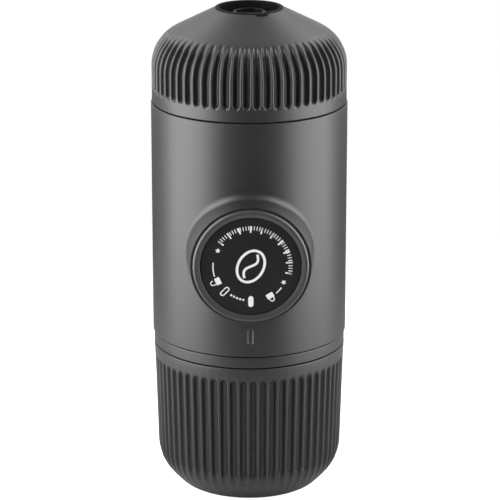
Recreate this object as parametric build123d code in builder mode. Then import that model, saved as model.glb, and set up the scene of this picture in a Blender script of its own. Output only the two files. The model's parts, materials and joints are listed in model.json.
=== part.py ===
from build123d import *
from math import cos, degrees, radians, sin, sqrt, tan
import os

# Handheld manual espresso maker, as separate pieces in one frame, in millimetres.
# +Z is up, the origin is the centre of the base, and the pump knob faces -Y.
os.makedirs("parts", exist_ok=True)

# ---------------------------------------------------------------- outer form
body_radius = 31.0
body_wall = 1.8
cup_height = 47.6
collar_height = 3.9
body_height = 75.3
dome_height = 29.2
seam_gap = 0.3
seam_bevel = 0.25

cup_rim_inset = 0.3
cup_lean = 1.6
cup_corner_radius = 14.5
cup_corner_turn = 44.0
cup_base_inset = 9.25
cup_base_rounding = 5.0
cup_wall = 2.15
collar_inset = 0.4

dome_inset = 0.3
dome_wall = 1.9
dome_shoulder_radius = 12.6
dome_shoulder_turn = 63.0
spout_opening_radius = 10.3
spout_lip_rounding = 0.4

flute_count = 60
flute_width = 2.2
flute_depth = 0.85
dome_flute_start = 4.6
dome_flute_turn = 50.0
cup_flute_start = 3.0
cup_flute_turn = 20.0
flute_phase = 180 / flute_count

index_mark_length = 5.0
index_mark_width = 1.6
index_mark_depth = 0.35
index_mark_rise = 4.4

# ---------------------------------------------------------------- pump knob
knob_radius = 18.0
knob_wall = 1.6
knob_projection = 9.0
knob_depth = 40.0
knob_stroke = 22.0
knob_turn = 45.0
knob_edge_rounding = 0.85
knob_rim_width = 2.55
knob_rim_dish = 0.4
knob_face_recess = 0.4
knob_face_thickness = 1.0
knob_front_thickness = 2.2
knob_hub_radius = 5.8
knob_hub_length = 3.2
lug_height = 1.0
lug_length = 2.5
lug_width = 14.0
lug_margin = 6.0
lug_angles = (90.0, 270.0)
channel_overlap = 0.3

boss_setback = 2.0
boss_lip = 0.5
boss_lean = 6.3
boss_flare = 3.0

guide_wall = 2.9
guide_backing = 1.0
guide_screw_gap = 0.35
backplate_thickness = 3.0

# ---------------------------------------------------------------- pump
bore_radius = 6.2
barrel_wall = 2.4
barrel_end_wall = 2.0
head_length = 6.0
head_side_gap = 0.3
rod_radius = 4.0
seal_groove_depth = 1.4
seal_width = 2.0
port_radius = 1.2
riser_radius = 5.0
flange_radius = 21.0
flange_thickness = 3.0
rib_thickness = 2.4
gland_flange = 3.0
gland_length = 7.0
gland_step = 1.0
rod_seal_length = 2.0
gland_seal_width = 1.4
gland_seal_setback = 1.0

# ---------------------------------------------------------------- plates and threads
plate_thickness = 6.0
ledge_thickness = 1.6
ledge_width = 1.8
plate_clearance = 0.1
neck_wall = 1.1
neck_rise = 5.55
spigot_drop = 7.1
spigot_wall = 2.4
thread_lead = 12.0
thread_starts = 3
thread_arc = 80.0
thread_height = 1.5
thread_root_width = 1.3
thread_crest_width = 0.8
thread_bore_gap = 0.5
thread_embed = 0.4
thread_lead_in = 0.8

# ---------------------------------------------------------------- brewing chamber
screen_margin = 1.4
screen_thickness = 0.8
screen_recess = 1.2
spread_depth = 1.4
spread_margin = 1.0
gasket_width = 2.3
gasket_thickness = 1.5
gasket_groove = 1.0
basket_wall = 0.6
basket_height = 12.3
basket_rim_width = 2.3
basket_rim_thickness = 1.0
perforation_radius = 0.55
perforation_step = 4.4
holes_per_ring = 6

insert_wall = 1.6
insert_fit = 0.1
insert_ring_height = 8.0
insert_ring_wall = 2.3
spout_tube_radius = 8.0
spout_tube_bore = 6.4
nozzle_floor_drop = 2.6
nozzle_floor_thickness = 1.2
nozzle_hub_radius = 5.15
nozzle_hub_drop = 0.7
nozzle_ports = 4
nozzle_port_radius = 1.1
nozzle_port_circle = 2.6
liner_width = 0.8
liner_depth = 3.6
tab_width = 4.2
tab_reach = 1.6
tab_thickness = 0.5
tab_angle = -66.0
tab_gap = 0.05
nozzle_skirt_length = 2.0
nozzle_hub_rounding = 0.35
nozzle_hub_wall = 0.8
nozzle_hub_dish = 1.0
nozzle_seal_width = 1.0

# ---------------------------------------------------------------- valves and springs
ball_radius = 2.2
ball_gap = 0.05
valve_pocket_radius = 3.0
valve_pocket_depth = 7.0
inlet_seat_drop = 4.0
valve_spring_radius = 1.6
valve_wire = 0.35
valve_spring_turns = 5
piston_spring_radius = 7.0
piston_wire = 1.1
piston_spring_turns = 6
pressure_stem_radius = 1.5
pressure_head_radius = 4.2
pressure_head_height = 1.4
pressure_seat_radius = 3.0
pressure_spring_radius = 3.4
pressure_wire = 0.45
pressure_travel = 1.0
pressure_spring_turns = 5
strainer_radius = 4.4
strainer_margin = 0.6
strainer_thickness = 0.8
strainer_holes = 6
strainer_hole_radius = 0.5
strainer_hole_circle = 2.6

# ---------------------------------------------------------------- tank and fasteners
tank_wall = 1.6
nest_clearance = 0.4
tank_neck_rise = 2.7
tank_seal_width = 1.3
tank_seal_gap = 0.1
grip_ring_wire = 0.9
grip_ring_drop = 4.5
grip_ring_gap = 0.1
screw_shank_radius = 1.4
screw_head_radius = 2.6
screw_head_height = 1.8
screw_length = 7.5
screw_head_rounding = 0.4
socket_width_share = 0.5
socket_depth_share = 0.6
hex_sides = 6
screw_circle = 15.0
screw_angles = (30.0, 150.0, 270.0)
small_shank_radius = 0.8
small_head_radius = 1.5
small_head_height = 1.0
small_screw_length = 8.0
guide_screw_angles = (0.0, 45.0, 180.0, 225.0)
shoulder_radius = 2.0
shoulder_head_radius = 3.8
shoulder_head_height = 1.4
shoulder_thread_radius = 1.6
shoulder_thread_length = 9.0
shower_screw_length = 5.5
screen_post_radius = 3.0
screen_hole_radius = 0.6

# ---------------------------------------------------------------- fits
running_clearance = 0.3
shaft_clearance = 0.05
screw_clearance = 0.05
axial_clearance = 0.2

# ---------------------------------------------------------------- levels along Z
half_seam = seam_gap / 2
cup_seam = cup_height
body_seam = cup_seam + collar_height
dome_seam = body_seam + body_height
top_level = dome_seam + dome_height

body_bottom = body_seam + half_seam
body_top = dome_seam - half_seam
head_plate_bottom = body_top - plate_thickness
base_plate_top = body_bottom + plate_thickness
lower_flange_top = base_plate_top + flange_thickness
upper_flange_bottom = head_plate_bottom - flange_thickness

guide_bore = knob_radius + running_clearance
guide_radius = guide_bore + guide_wall
knob_level = lower_flange_top + screw_head_height + guide_screw_gap + guide_radius

neck_top = body_top + neck_rise
spigot_bottom = body_bottom - spigot_drop

gasket_bottom = neck_top - gasket_groove
basket_bottom = gasket_bottom + gasket_thickness + axial_clearance / 2
basket_rim_top = basket_bottom + basket_rim_thickness
basket_top = basket_bottom + basket_height
screen_seat = neck_top - screen_recess
spread_floor = screen_seat - spread_depth

# ---------------------------------------------------------------- radii
body_bore_radius = body_radius - body_wall
plate_radius = body_bore_radius - plate_clearance
ledge_radius = body_bore_radius - ledge_width
cup_rim_radius = body_radius - cup_rim_inset
cup_base_radius = body_radius - cup_base_inset
dome_rim_radius = body_radius - dome_inset
collar_radius = body_radius - collar_inset

insert_ring_radius = dome_rim_radius - dome_wall - insert_fit
thread_bore = insert_ring_radius - insert_ring_wall
neck_radius = thread_bore - thread_bore_gap - thread_height
gasket_radius = neck_radius - neck_wall
gasket_inner = gasket_radius - gasket_width
screen_radius = gasket_inner - screen_margin
basket_rim_radius = gasket_radius
basket_radius = basket_rim_radius - basket_rim_width
port_offset = neck_radius - spigot_wall - strainer_radius - strainer_margin

flute_ball = (flute_width**2 / 4 + flute_depth**2) / (2 * flute_depth)
flute_standoff = flute_ball - flute_depth

# ---------------------------------------------------------------- stations along Y
knob_front = -(body_radius + knob_projection)
knob_back = knob_front + knob_depth
knob_wall_front = knob_front + knob_rim_dish + knob_face_recess + knob_face_thickness
knob_wall_back = knob_wall_front + knob_front_thickness
knob_hub_back = knob_wall_back + knob_hub_length
knob_inner_radius = knob_radius - knob_wall
knob_face_radius = knob_radius - knob_rim_width
boss_front = knob_front + boss_setback
guide_back = knob_back + guide_backing

head_front = port_offset - port_radius - head_side_gap - head_length
barrel_radius = bore_radius + barrel_wall
barrel_back = port_offset + port_radius + head_side_gap + barrel_end_wall
gland_back = head_front - knob_stroke - axial_clearance * 2
gland_front = gland_back - gland_length
barrel_front = gland_front + gland_flange
gland_insert_radius = bore_radius + gland_step
channel_radius = knob_radius + lug_height + running_clearance
pump_axis = Axis((0, 0, knob_level), (0, 1, 0))


def across(station):
    """Plane square to the pump's axis, whose extrusions run towards +Y."""
    return Plane(origin=(0, station, knob_level), x_dir=(-1, 0, 0), z_dir=(0, 1, 0))


def bowl_points(rim_radius, depth, lean, corner_radius, turn, flat_radius, inset=0.0):
    """Outline of a bowl that leans outward and turns through one round corner to a flat.

    Points are (radius, height above the flat), from the flat to the rim, for the surface
    that lies inset inside the outer one.
    """
    side = Vector(-cos(radians(lean)), sin(radians(lean)))
    slope = Vector(-cos(radians(turn)), sin(radians(turn)))
    side_reach = corner_radius + side.X * rim_radius + side.Y * depth
    slope_reach = corner_radius + slope.X * flat_radius
    spread = side.X * slope.Y - side.Y * slope.X
    centre = Vector(
        (side_reach * slope.Y - side.Y * slope_reach) / spread,
        (side.X * slope_reach - side_reach * slope.X) / spread,
    )
    middle = (side + slope).normalized()
    arc_radius = corner_radius - inset
    high = centre - side * arc_radius
    mid = centre - middle * arc_radius
    low = centre - slope * arc_radius
    flat_run = (low.Y - inset) / slope.X
    rim_run = (depth - high.Y) / side.X
    flat = Vector(low.X + flat_run * slope.Y, inset)
    rim = Vector(high.X - rim_run * side.Y, depth)
    return {"flat": flat, "low": low, "mid": mid, "high": high, "rim": rim, "centre": centre}


def cup_outline(inset=0.0):
    """Points of the cup's surface, whose flat is the base."""
    points = bowl_points(
        cup_rim_radius,
        cup_seam - half_seam,
        cup_lean,
        cup_corner_radius,
        cup_corner_turn,
        cup_base_radius,
        inset,
    )
    return points


def dome_outline(inset=0.0):
    """Points of the dome's surface, turned over so that its flat is at the top."""
    points = bowl_points(
        dome_rim_radius,
        dome_height - half_seam,
        0.0,
        dome_shoulder_radius,
        dome_shoulder_turn,
        spout_opening_radius,
        inset,
    )
    return {name: Vector(point.X, top_level - point.Y) for name, point in points.items()}


def turned_bowl(points, extra=0.0):
    """Solid turned from a bowl outline, closed at the axis and carried past its rim by extra."""
    flat, low, mid, high, rim = (points[n] for n in ("flat", "low", "mid", "high", "rim"))
    end_level = rim.Y + (extra if rim.Y > flat.Y else -extra)
    run = [high, rim, Vector(rim.X, end_level), Vector(0, end_level)]
    if not extra:
        del run[2]
    with BuildPart() as bowl:
        with BuildSketch(Plane.XZ):
            with BuildLine():
                Polyline((0, end_level), (0, flat.Y), flat, low)
                ThreePointArc(low, mid, high)
                Polyline(run)
            make_face()
        revolve(axis=Axis.Z)
    return bowl.part


def flute_cutter(start, corner, centre, turn):
    """Round-ended cutter that follows the side from start to corner, then turns round centre."""
    reach = corner - centre
    angle = radians(turn)
    end = centre + Vector(
        reach.X * cos(angle) - reach.Y * sin(angle),
        reach.X * sin(angle) + reach.Y * cos(angle),
    )
    half = centre + Vector(
        reach.X * cos(angle / 2) - reach.Y * sin(angle / 2),
        reach.X * sin(angle / 2) + reach.Y * cos(angle / 2),
    )
    start, corner, half, end = (Vector(p.X, 0, p.Y) for p in (start, corner, half, end))
    with BuildPart() as cutter:
        with BuildLine() as path:
            Line(start, corner)
            ThreePointArc(corner, half, end)
        with BuildSketch(Plane(origin=path.line @ 0, z_dir=path.line % 0)):
            Circle(flute_ball)
        sweep()
        with Locations(path.line @ 0, path.line @ 1):
            Sphere(flute_ball)
    return cutter.part


def thread_ridges(root_radius, outward, start_level):
    """Helical thread ridges, one for each start, standing out of or into a wall.

    Inward ridges lie half way between the outward ones, wherever each set starts.
    """
    sign = 1 if outward else -1
    rise = thread_lead * thread_arc / 360
    root = -sign * thread_embed
    crest = sign * thread_height
    with BuildPart() as ridge:
        with BuildLine() as path:
            Helix(pitch=thread_lead, height=rise, radius=root_radius)
        with BuildSketch(Plane(origin=path.line @ 0, x_dir=(1, 0, 0), z_dir=path.line % 0)):
            with BuildLine():
                Polyline(
                    (root, -thread_root_width / 2),
                    (crest, -thread_crest_width / 2),
                    (crest, thread_crest_width / 2),
                    (root, thread_root_width / 2),
                    close=True,
                )
            make_face()
        sweep(is_frenet=True)
    stagger = 0 if outward else 180 / thread_starts
    first_angle = 360 * start_level / thread_lead + stagger
    with BuildPart() as ridges:
        with Locations((0, 0, start_level + thread_root_width / 2)):
            with PolarLocations(0, thread_starts, start_angle=first_angle):
                add(ridge.part)
    return ridges.part


def pump_sector(inner, outer, front, back, first_angle, arc):
    """Part of a ring round the pump's axis, from first_angle down by arc, X towards Z positive."""
    direction = Vector(cos(radians(first_angle)), 0, sin(radians(first_angle)))
    section = Plane(
        origin=(0, 0, knob_level),
        x_dir=direction,
        z_dir=direction.cross(Vector(0, 1, 0)),
    )
    with BuildPart() as ring_part:
        with BuildSketch(section):
            with Locations(((inner + outer) / 2, (front + back) / 2)):
                Rectangle(outer - inner, back - front)
        revolve(axis=pump_axis, revolution_arc=arc)
    return ring_part.part


def coil_spring(radius, wire, length, turns):
    """Round-wire spring from the origin up +Z, with its ends inside the length."""
    rise = length - wire
    with BuildPart() as spring:
        with BuildLine() as path:
            Helix(pitch=rise / turns, height=rise, radius=radius, center=(0, 0, wire / 2))
        with BuildSketch(Plane(origin=path.line @ 0, x_dir=(1, 0, 0), z_dir=path.line % 0)):
            Circle(wire / 2)
        sweep(is_frenet=True)
    return spring.part


def pan_screw(shank, length, head, height):
    """Screw along +Z: its head is below the origin and its shank above."""
    with BuildPart() as screw:
        Cylinder(shank, length, align=(Align.CENTER, Align.CENTER, Align.MIN))
        Cylinder(head, height, align=(Align.CENTER, Align.CENTER, Align.MAX))
        fillet(screw.faces().sort_by(Axis.Z)[0].edges(), height * screw_head_rounding)
        with BuildSketch(Plane.XY.offset(-height)):
            RegularPolygon(head * socket_width_share, hex_sides)
        extrude(amount=height * socket_depth_share, mode=Mode.SUBTRACT)
    return screw.part


def save(piece, name):
    """Label a finished piece and write it to its own file."""
    piece.part.label = name
    export_step(piece.part, f"parts/{name}.step")


# ================================================================ cup and tank
cup_points = cup_outline()
cup_path = cup_outline(-flute_standoff)
cup_flute_top = cup_seam - half_seam - cup_flute_start - flute_width / 2
side_lean = tan(radians(cup_lean))
cup_cutter = flute_cutter(
    Vector(cup_path["rim"].X - (cup_path["rim"].Y - cup_flute_top) * side_lean, cup_flute_top),
    cup_path["high"],
    cup_path["centre"],
    -cup_flute_turn,
)
cup_solid = turned_bowl(cup_points)
cup_hollow = turned_bowl(cup_outline(cup_wall), extra=1.0)

with BuildPart() as drinking_cup:
    add(cup_solid)
    fillet(drinking_cup.edges().group_by(Axis.Z)[0], cup_base_rounding)
    chamfer(drinking_cup.edges().group_by(Axis.Z)[-1], seam_bevel)
    add(cup_hollow, mode=Mode.SUBTRACT)
    with PolarLocations(0, flute_count, start_angle=flute_phase):
        add(cup_cutter, mode=Mode.SUBTRACT)
save(drinking_cup, "drinking_cup")

tank_inset = cup_wall + nest_clearance
tank_points = cup_outline(tank_inset)
tank_radius = tank_points["rim"].X
tank_top = cup_seam + tank_neck_rise
tank_solid = turned_bowl(tank_points, extra=tank_top - tank_points["rim"].Y)
tank_hollow = turned_bowl(cup_outline(tank_inset + tank_wall), extra=cup_height)
tank_ridges = thread_ridges(thread_bore, False, spigot_bottom + thread_lead_in)

grip_ring_level = tank_points["rim"].Y - grip_ring_drop
grip_seat_radius = tank_radius - grip_ring_drop * side_lean
grip_ring_radius = grip_seat_radius + nest_clearance - grip_ring_gap - grip_ring_wire / 2
with BuildPart() as water_tank:
    add(tank_solid)
    add(tank_hollow, mode=Mode.SUBTRACT)
    with BuildSketch(Plane.XZ):
        with Locations((grip_ring_radius + grip_ring_wire / 2, grip_ring_level)):
            Rectangle(2 * grip_ring_wire, grip_ring_wire + 2 * screw_clearance)
    revolve(axis=Axis.Z, mode=Mode.SUBTRACT)
    add(tank_ridges)
save(water_tank, "water_tank")

with BuildPart() as cup_grip_ring:
    with Locations((0, 0, grip_ring_level)):
        Torus(grip_ring_radius, grip_ring_wire / 2)
save(cup_grip_ring, "cup_grip_ring")

with BuildPart() as tank_collar:
    with BuildSketch(Plane.XY.offset(cup_seam + half_seam)):
        Circle(collar_radius)
        Circle(tank_radius + shaft_clearance, mode=Mode.SUBTRACT)
    extrude(amount=collar_height - seam_gap)
    rim_edges = tank_collar.edges().filter_by(GeomType.CIRCLE)
    chamfer(rim_edges.group_by(SortBy.RADIUS)[-1], seam_bevel)
save(tank_collar, "tank_collar")

with BuildPart() as tank_seal:
    with BuildSketch(Plane.XY.offset(tank_top)):
        Circle(tank_radius - running_clearance)
        Circle(tank_radius - running_clearance - tank_seal_width, mode=Mode.SUBTRACT)
    extrude(amount=body_bottom - tank_seal_gap - tank_top)
save(tank_seal, "tank_seal")

# ================================================================ body
opening_depth = body_radius
shell_height = body_top - body_bottom
with BuildPart() as body_shell:
    with BuildSketch(Plane.XY.offset(body_bottom)):
        Circle(body_radius)
    extrude(amount=shell_height)
    chamfer(body_shell.edges().filter_by(GeomType.CIRCLE), seam_bevel)
    with BuildSketch(Plane.XY.offset(knob_level)):
        with BuildLine():
            Polyline(
                (0, boss_front),
                (guide_bore + boss_lip, boss_front),
                (guide_bore + boss_lip - boss_front * tan(radians(boss_lean)), 0),
                (0, 0),
                close=True,
            )
        make_face()
    revolve(axis=pump_axis)
    flare_edges = body_shell.edges().filter_by(GeomType.BSPLINE)
    fillet(flare_edges, boss_flare)
    with BuildSketch(Plane.XY.offset(body_bottom)):
        Circle(body_bore_radius)
    extrude(amount=shell_height, mode=Mode.SUBTRACT)
    with BuildSketch(across(boss_front)):
        Circle(guide_bore)
    extrude(amount=opening_depth, mode=Mode.SUBTRACT)
    for ledge_level in (base_plate_top, head_plate_bottom - ledge_thickness):
        with BuildSketch(Plane.XY.offset(ledge_level)):
            Circle(body_bore_radius)
            Circle(ledge_radius, mode=Mode.SUBTRACT)
        extrude(amount=ledge_thickness)
    with BuildSketch(Plane.XZ.offset(body_radius - index_mark_depth)):
        with Locations((0, body_seam + index_mark_rise + index_mark_length / 2)):
            SlotOverall(index_mark_length, index_mark_width, rotation=90)
    extrude(amount=2 * index_mark_depth, mode=Mode.SUBTRACT)
save(body_shell, "body_shell")

screw_points = [
    (screw_circle * cos(radians(angle)), screw_circle * sin(radians(angle)))
    for angle in screw_angles
]
screw_hole_radius = screw_shank_radius + screw_clearance
screw_hole_depth = screw_length - flange_thickness + screw_clearance
head_ridges = thread_ridges(neck_radius, True, body_top + thread_lead_in)
with BuildPart() as brew_head:
    with BuildSketch(Plane.XY.offset(head_plate_bottom)):
        Circle(plate_radius)
    extrude(amount=plate_thickness)
    with BuildSketch(Plane.XY.offset(body_top)):
        Circle(neck_radius)
    extrude(amount=neck_rise)
    with BuildSketch(Plane.XY.offset(gasket_bottom)):
        Circle(gasket_radius + screw_clearance)
        Circle(gasket_inner - screw_clearance, mode=Mode.SUBTRACT)
    extrude(amount=gasket_groove, mode=Mode.SUBTRACT)
    with BuildSketch(Plane.XY.offset(screen_seat)):
        Circle(screen_radius + screw_clearance)
    extrude(amount=screen_recess, mode=Mode.SUBTRACT)
    with BuildSketch(Plane.XY.offset(spread_floor)):
        Circle(screen_radius - spread_margin)
        Circle(screen_post_radius, mode=Mode.SUBTRACT)
    extrude(amount=spread_depth, mode=Mode.SUBTRACT)
    with BuildSketch(Plane.XY.offset(screen_seat + screen_thickness - shower_screw_length)):
        Circle(screw_hole_radius)
    extrude(amount=shower_screw_length, mode=Mode.SUBTRACT)
    with BuildSketch(Plane.XY.offset(head_plate_bottom)):
        with Locations((0, port_offset)):
            Circle(valve_pocket_radius)
    extrude(amount=valve_pocket_depth, mode=Mode.SUBTRACT)
    with BuildSketch(Plane.XY.offset(head_plate_bottom)):
        with Locations((0, port_offset)):
            Circle(port_radius)
    extrude(amount=spread_floor - head_plate_bottom, mode=Mode.SUBTRACT)
    with BuildSketch(Plane.XY.offset(head_plate_bottom)):
        with Locations(*screw_points):
            Circle(screw_hole_radius)
    extrude(amount=screw_hole_depth, mode=Mode.SUBTRACT)
    add(head_ridges)
save(brew_head, "brew_head")

inlet_seat = base_plate_top - inlet_seat_drop
spigot_ridges = thread_ridges(neck_radius, True, spigot_bottom + thread_lead_in)
with BuildPart() as tank_mount:
    with BuildSketch(Plane.XY.offset(body_bottom)):
        Circle(plate_radius)
    extrude(amount=plate_thickness)
    with BuildSketch(Plane.XY.offset(spigot_bottom)):
        Circle(neck_radius)
        Circle(neck_radius - spigot_wall, mode=Mode.SUBTRACT)
    extrude(amount=spigot_drop)
    with BuildSketch(Plane.XY.offset(inlet_seat)):
        with Locations((0, port_offset)):
            Circle(valve_pocket_radius)
    extrude(amount=inlet_seat_drop, mode=Mode.SUBTRACT)
    with BuildSketch(Plane.XY.offset(body_bottom)):
        with Locations((0, port_offset)):
            Circle(port_radius)
    extrude(amount=inlet_seat - body_bottom, mode=Mode.SUBTRACT)
    with BuildSketch(Plane.XY.offset(body_bottom)):
        with Locations((0, port_offset)):
            Circle(strainer_radius + screw_clearance)
    extrude(amount=strainer_thickness, mode=Mode.SUBTRACT)
    with BuildSketch(Plane.XY.offset(base_plate_top - screw_hole_depth)):
        with Locations(*screw_points):
            Circle(screw_hole_radius)
    extrude(amount=screw_hole_depth, mode=Mode.SUBTRACT)
    add(spigot_ridges)
save(tank_mount, "tank_mount")

with BuildPart() as inlet_strainer:
    with BuildSketch(Plane.XY.offset(body_bottom)):
        with Locations((0, port_offset)):
            Circle(strainer_radius)
            with PolarLocations(strainer_hole_circle, strainer_holes):
                Circle(strainer_hole_radius, mode=Mode.SUBTRACT)
    extrude(amount=strainer_thickness)
save(inlet_strainer, "inlet_strainer")

pump_height = head_plate_bottom - base_plate_top
backplate_back = guide_back + backplate_thickness
guide_screw_circle = (guide_bore + guide_radius) / 2
guide_screw_points = [
    (-guide_screw_circle * cos(radians(angle)), guide_screw_circle * sin(radians(angle)))
    for angle in guide_screw_angles
]
with BuildPart() as pump_body:
    with BuildSketch(across(barrel_front)):
        Circle(barrel_radius)
    extrude(amount=barrel_back - barrel_front)
    with BuildSketch(across(guide_back)):
        Circle(guide_radius)
    extrude(amount=backplate_thickness)
    with BuildSketch(Plane.XY.offset(base_plate_top)):
        with Locations((0, port_offset)):
            Circle(riser_radius)
        with Locations((0, (backplate_back + port_offset) / 2)):
            Rectangle(rib_thickness, port_offset - backplate_back)
    extrude(amount=pump_height)
    for flange_level in (base_plate_top, upper_flange_bottom):
        with BuildSketch(Plane.XY.offset(flange_level)):
            Circle(flange_radius)
            with Locations(*screw_points):
                Circle(screw_hole_radius, mode=Mode.SUBTRACT)
        extrude(amount=flange_thickness)
    with BuildSketch(across(gland_back)):
        Circle(bore_radius)
    extrude(amount=barrel_back - barrel_end_wall - gland_back, mode=Mode.SUBTRACT)
    with BuildSketch(across(barrel_front)):
        Circle(gland_insert_radius)
    extrude(amount=gland_back - barrel_front, mode=Mode.SUBTRACT)
    with BuildSketch(Plane.XY.offset(base_plate_top)):
        with Locations((0, port_offset)):
            Circle(port_radius)
    extrude(amount=pump_height, mode=Mode.SUBTRACT)
    with BuildSketch(Plane.XY.offset(base_plate_top)):
        with Locations((0, port_offset)):
            Circle(valve_pocket_radius)
    extrude(amount=valve_pocket_depth - inlet_seat_drop, mode=Mode.SUBTRACT)
    with BuildSketch(across(guide_back)):
        with Locations(*guide_screw_points):
            Circle(small_shank_radius + screw_clearance)
    extrude(amount=backplate_thickness, mode=Mode.SUBTRACT)
save(pump_body, "pump_body")

channel_margin = lug_width / 2 + lug_margin
channel_front = knob_back - lug_length - knob_stroke - axial_clearance
lug_channels = [
    pump_sector(
        guide_bore - channel_overlap,
        channel_radius,
        channel_front,
        guide_back,
        side + knob_turn + channel_margin,
        knob_turn + 2 * channel_margin,
    )
    for side in lug_angles
]
with BuildPart() as knob_guide:
    with BuildSketch(across(-plate_radius)):
        Circle(guide_radius)
        Circle(guide_bore, mode=Mode.SUBTRACT)
    extrude(amount=guide_back + plate_radius)
    with BuildSketch(Plane.XY.offset(body_bottom)):
        Circle(plate_radius)
    extrude(amount=shell_height, mode=Mode.INTERSECT)
    add(lug_channels, mode=Mode.SUBTRACT)
    with BuildSketch(across(guide_back - small_screw_length + backplate_thickness)):
        with Locations(*guide_screw_points):
            Circle(small_shank_radius + screw_clearance)
    extrude(amount=small_screw_length, mode=Mode.SUBTRACT)
save(knob_guide, "knob_guide")

plate_screw = pan_screw(screw_shank_radius, screw_length, screw_head_radius, screw_head_height)
small_screw = pan_screw(
    small_shank_radius,
    small_screw_length,
    small_head_radius,
    small_head_height,
)
with BuildPart() as head_screws:
    with Locations(*[(x, y, upper_flange_bottom) for x, y in screw_points]):
        add(plate_screw)
save(head_screws, "head_screws")

with BuildPart() as base_screws:
    for x, y in screw_points:
        with Locations(Plane(origin=(x, y, lower_flange_top), z_dir=(0, 0, -1))):
            add(plate_screw)
save(base_screws, "base_screws")

with BuildPart() as guide_screws:
    for x, z in guide_screw_points:
        with Locations(Plane(origin=(-x, backplate_back, knob_level + z), z_dir=(0, -1, 0))):
            add(small_screw)
save(guide_screws, "guide_screws")

seal_bore = rod_radius + gland_seal_width
with BuildPart() as gland_nut:
    with BuildSketch(across(gland_front)):
        RegularPolygon(barrel_radius, hex_sides)
    extrude(amount=gland_flange)
    with BuildSketch(across(barrel_front)):
        Circle(gland_insert_radius - screw_clearance)
    extrude(amount=gland_back - barrel_front)
    with BuildSketch(across(gland_front)):
        Circle(rod_radius + shaft_clearance)
    extrude(amount=gland_length, mode=Mode.SUBTRACT)
    with BuildSketch(across(gland_back - rod_seal_length - gland_seal_setback)):
        Circle(seal_bore)
    extrude(amount=rod_seal_length, mode=Mode.SUBTRACT)
save(gland_nut, "gland_nut")

with BuildPart() as rod_seal:
    with BuildSketch(across(gland_back - rod_seal_length - gland_seal_setback)):
        Circle(seal_bore)
        Circle(rod_radius + shaft_clearance, mode=Mode.SUBTRACT)
    extrude(amount=rod_seal_length)
save(rod_seal, "rod_seal")

with BuildPart() as shower_screen:
    with BuildSketch(Plane.XY.offset(screen_seat)):
        Circle(screen_radius)
        Circle(screw_hole_radius, mode=Mode.SUBTRACT)
        for ring in range(1, int((screen_radius - spread_margin) / perforation_step) + 1):
            with PolarLocations(ring * perforation_step, ring * holes_per_ring):
                Circle(screen_hole_radius, mode=Mode.SUBTRACT)
    extrude(amount=screen_thickness)
save(shower_screen, "shower_screen")

short_screw = pan_screw(
    screw_shank_radius,
    shower_screw_length,
    screw_head_radius,
    screw_head_height,
)
with BuildPart() as shower_screw:
    with Locations(Plane(origin=(0, 0, screen_seat + screen_thickness), z_dir=(0, 0, -1))):
        add(short_screw)
save(shower_screw, "shower_screw")

with BuildPart() as portafilter_gasket:
    with BuildSketch(Plane.XY.offset(gasket_bottom)):
        Circle(gasket_radius)
        Circle(gasket_inner, mode=Mode.SUBTRACT)
    extrude(amount=gasket_thickness)
save(portafilter_gasket, "portafilter_gasket")

# ---------------------------------------------------------------- one-way valves
ball_lift = sqrt(ball_radius**2 - port_radius**2) + ball_gap
spring_lift = sqrt((ball_radius + valve_wire / 2 + ball_gap) ** 2 - valve_spring_radius**2)
valve_spring_length = valve_pocket_depth - ball_lift - spring_lift + valve_wire / 2 - ball_gap
valve_spring_start = valve_pocket_depth - ball_gap - valve_spring_length
valve_spring = coil_spring(
    valve_spring_radius,
    valve_wire,
    valve_spring_length,
    valve_spring_turns,
)
with BuildPart() as inlet_valve_ball:
    with Locations((0, port_offset, inlet_seat + ball_lift)):
        Sphere(ball_radius)
save(inlet_valve_ball, "inlet_valve_ball")

with BuildPart() as outlet_valve_ball:
    with Locations((0, port_offset, head_plate_bottom + ball_lift)):
        Sphere(ball_radius)
save(outlet_valve_ball, "outlet_valve_ball")

with BuildPart() as inlet_valve_spring:
    with Locations((0, port_offset, inlet_seat + valve_spring_start)):
        add(valve_spring)
save(inlet_valve_spring, "inlet_valve_spring")

with BuildPart() as outlet_valve_spring:
    with Locations((0, port_offset, head_plate_bottom + valve_spring_start)):
        add(valve_spring)
save(outlet_valve_spring, "outlet_valve_spring")

# ================================================================ piston and knob
rod_front = knob_hub_back + axial_clearance
head_radius = bore_radius - running_clearance
groove_radius = head_radius - seal_groove_depth
groove_front = head_front + (head_length - seal_width) / 2
with BuildPart() as plunger_rod:
    with BuildSketch(across(rod_front)):
        Circle(rod_radius)
    extrude(amount=head_front - rod_front)
    with BuildSketch(across(head_front)):
        Circle(head_radius)
    extrude(amount=head_length)
    with BuildSketch(across(groove_front)):
        Circle(head_radius)
        Circle(groove_radius, mode=Mode.SUBTRACT)
    extrude(amount=seal_width, mode=Mode.SUBTRACT)
    with BuildSketch(across(rod_front)):
        Circle(shoulder_thread_radius + screw_clearance)
    extrude(amount=shoulder_thread_length + axial_clearance, mode=Mode.SUBTRACT)
save(plunger_rod, "plunger_rod")

with BuildPart() as piston_seal:
    with BuildSketch(across(groove_front)):
        Circle(bore_radius - shaft_clearance)
        Circle(groove_radius, mode=Mode.SUBTRACT)
    extrude(amount=seal_width)
save(piston_seal, "piston_seal")

shoulder_front = knob_wall_front + shoulder_head_height
with BuildPart() as knob_screw:
    with BuildSketch(across(knob_wall_front)):
        Circle(shoulder_head_radius)
    extrude(amount=shoulder_head_height)
    with BuildSketch(across(shoulder_front)):
        Circle(shoulder_radius)
    extrude(amount=rod_front - shoulder_front)
    with BuildSketch(across(rod_front)):
        Circle(shoulder_thread_radius)
    extrude(amount=shoulder_thread_length)
    with BuildSketch(across(knob_wall_front)):
        RegularPolygon(shoulder_radius, hex_sides)
    extrude(amount=shoulder_head_height / 2, mode=Mode.SUBTRACT)
save(knob_screw, "knob_screw")

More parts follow.
